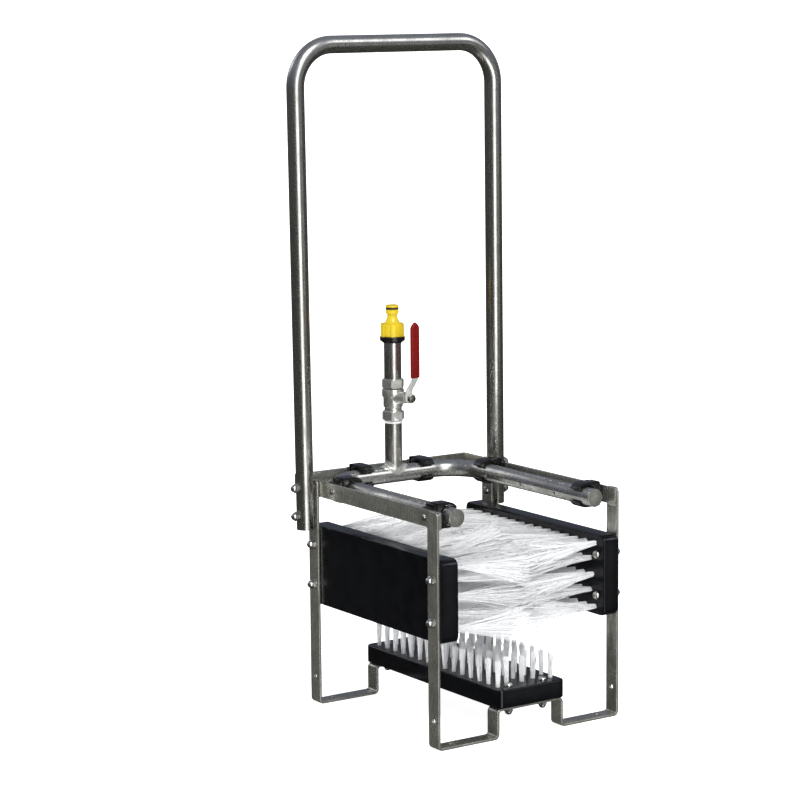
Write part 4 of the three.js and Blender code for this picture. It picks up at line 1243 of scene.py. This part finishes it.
# %% The dark room's walls
world = bpy.data.worlds.new("surroundings")
bpy.context.scene.world = world
world.use_nodes = True
sky = world.node_tree
direction = node(sky, "ShaderNodeTexCoord").outputs["Generated"]
parts = node(sky, "ShaderNodeSeparateXYZ")
sky.links.new(direction, parts.inputs["Vector"])
height = parts.outputs["Z"]
dark_room = shades(sky, span(sky, height, -1, 1, 0, 1),
                   (0.30, (0.05, 0.05, 0.045)), (0.46, (0.052, 0.052, 0.044)),
                   (0.58, (0.13, 0.145, 0.19)), (0.85, (0.24, 0.26, 0.32)))
level = node(sky, "ShaderNodeVectorMath", operation="MULTIPLY")
sky.links.new(direction, level.inputs[0])
level.inputs[1].default_value = (1, 1, 0)
heading = node(sky, "ShaderNodeVectorMath", operation="NORMALIZE")
sky.links.new(level.outputs["Vector"], heading.inputs[0])
print("The room's walls have", len(sky.nodes), "nodes")


# %% Its narrow lights, and the sky as a whole
def nearness(source, azimuth, elevation, spread, strength):
    """A value that is full towards one direction and fades out over a spread of degrees"""
    around, over = math.radians(azimuth), math.radians(elevation)
    along = node(sky, "ShaderNodeVectorMath", operation="DOT_PRODUCT")
    sky.links.new(source, along.inputs[0])
    along.inputs[1].default_value = (math.cos(around) * math.cos(over), math.sin(around) * math.cos(over),
                                     math.sin(over))
    edge, core = math.cos(math.radians(spread)), math.cos(math.radians(spread / 3))
    return span(sky, along.outputs["Value"], edge, core, 0, strength)


tall = together(sky, "MULTIPLY", span(sky, height, -0.8, -0.6, 0, 1), span(sky, height, 0.4, 0.6, 1, 0))
strip_light = {"azimuth": -104, "elevation": 0, "spread": 17, "strength": 3.3}
round_lights = (
    {"azimuth": -44, "elevation": 31, "spread": 16, "strength": 2.9},
    {"azimuth": 113, "elevation": 27, "spread": 17, "strength": 1.6},
    {"azimuth": -56, "elevation": -9, "spread": 14, "strength": 0.35},
)
soft_light, backdrop = (0.66, 0.67, 0.69, 1), (1.3, 1.3, 1.3, 1)

lights = together(sky, "MULTIPLY", nearness(heading.outputs["Vector"], **strip_light), tall)
for glow in round_lights:
    lights = together(sky, "ADD", lights, nearness(direction, **glow))
room = blend_colours(sky, 1.0, dark_room, lights, "ADD")
rays = node(sky, "ShaderNodeLightPath")
lit = blend_colours(sky, rays.outputs["Is Glossy Ray"], soft_light, room)
seen = blend_colours(sky, rays.outputs["Is Camera Ray"], lit, backdrop)
background = sky.nodes["Background"]
sky.links.new(seen, background.inputs["Color"])
background.inputs["Strength"].default_value = 1.0
bpy.context.scene.view_settings.view_transform = "Standard"
bpy.context.scene.view_settings.look = "None"
print("Lights in the room:", 1 + len(round_lights))

# %% [markdown]
# ## Size
#
# The finer pieces are meant to stay inside the CAD model's box, and that box is written down.

# %% Write the CAD box
print("CAD box", [[round(value, 4) for value in corner] for corner in cad_box])
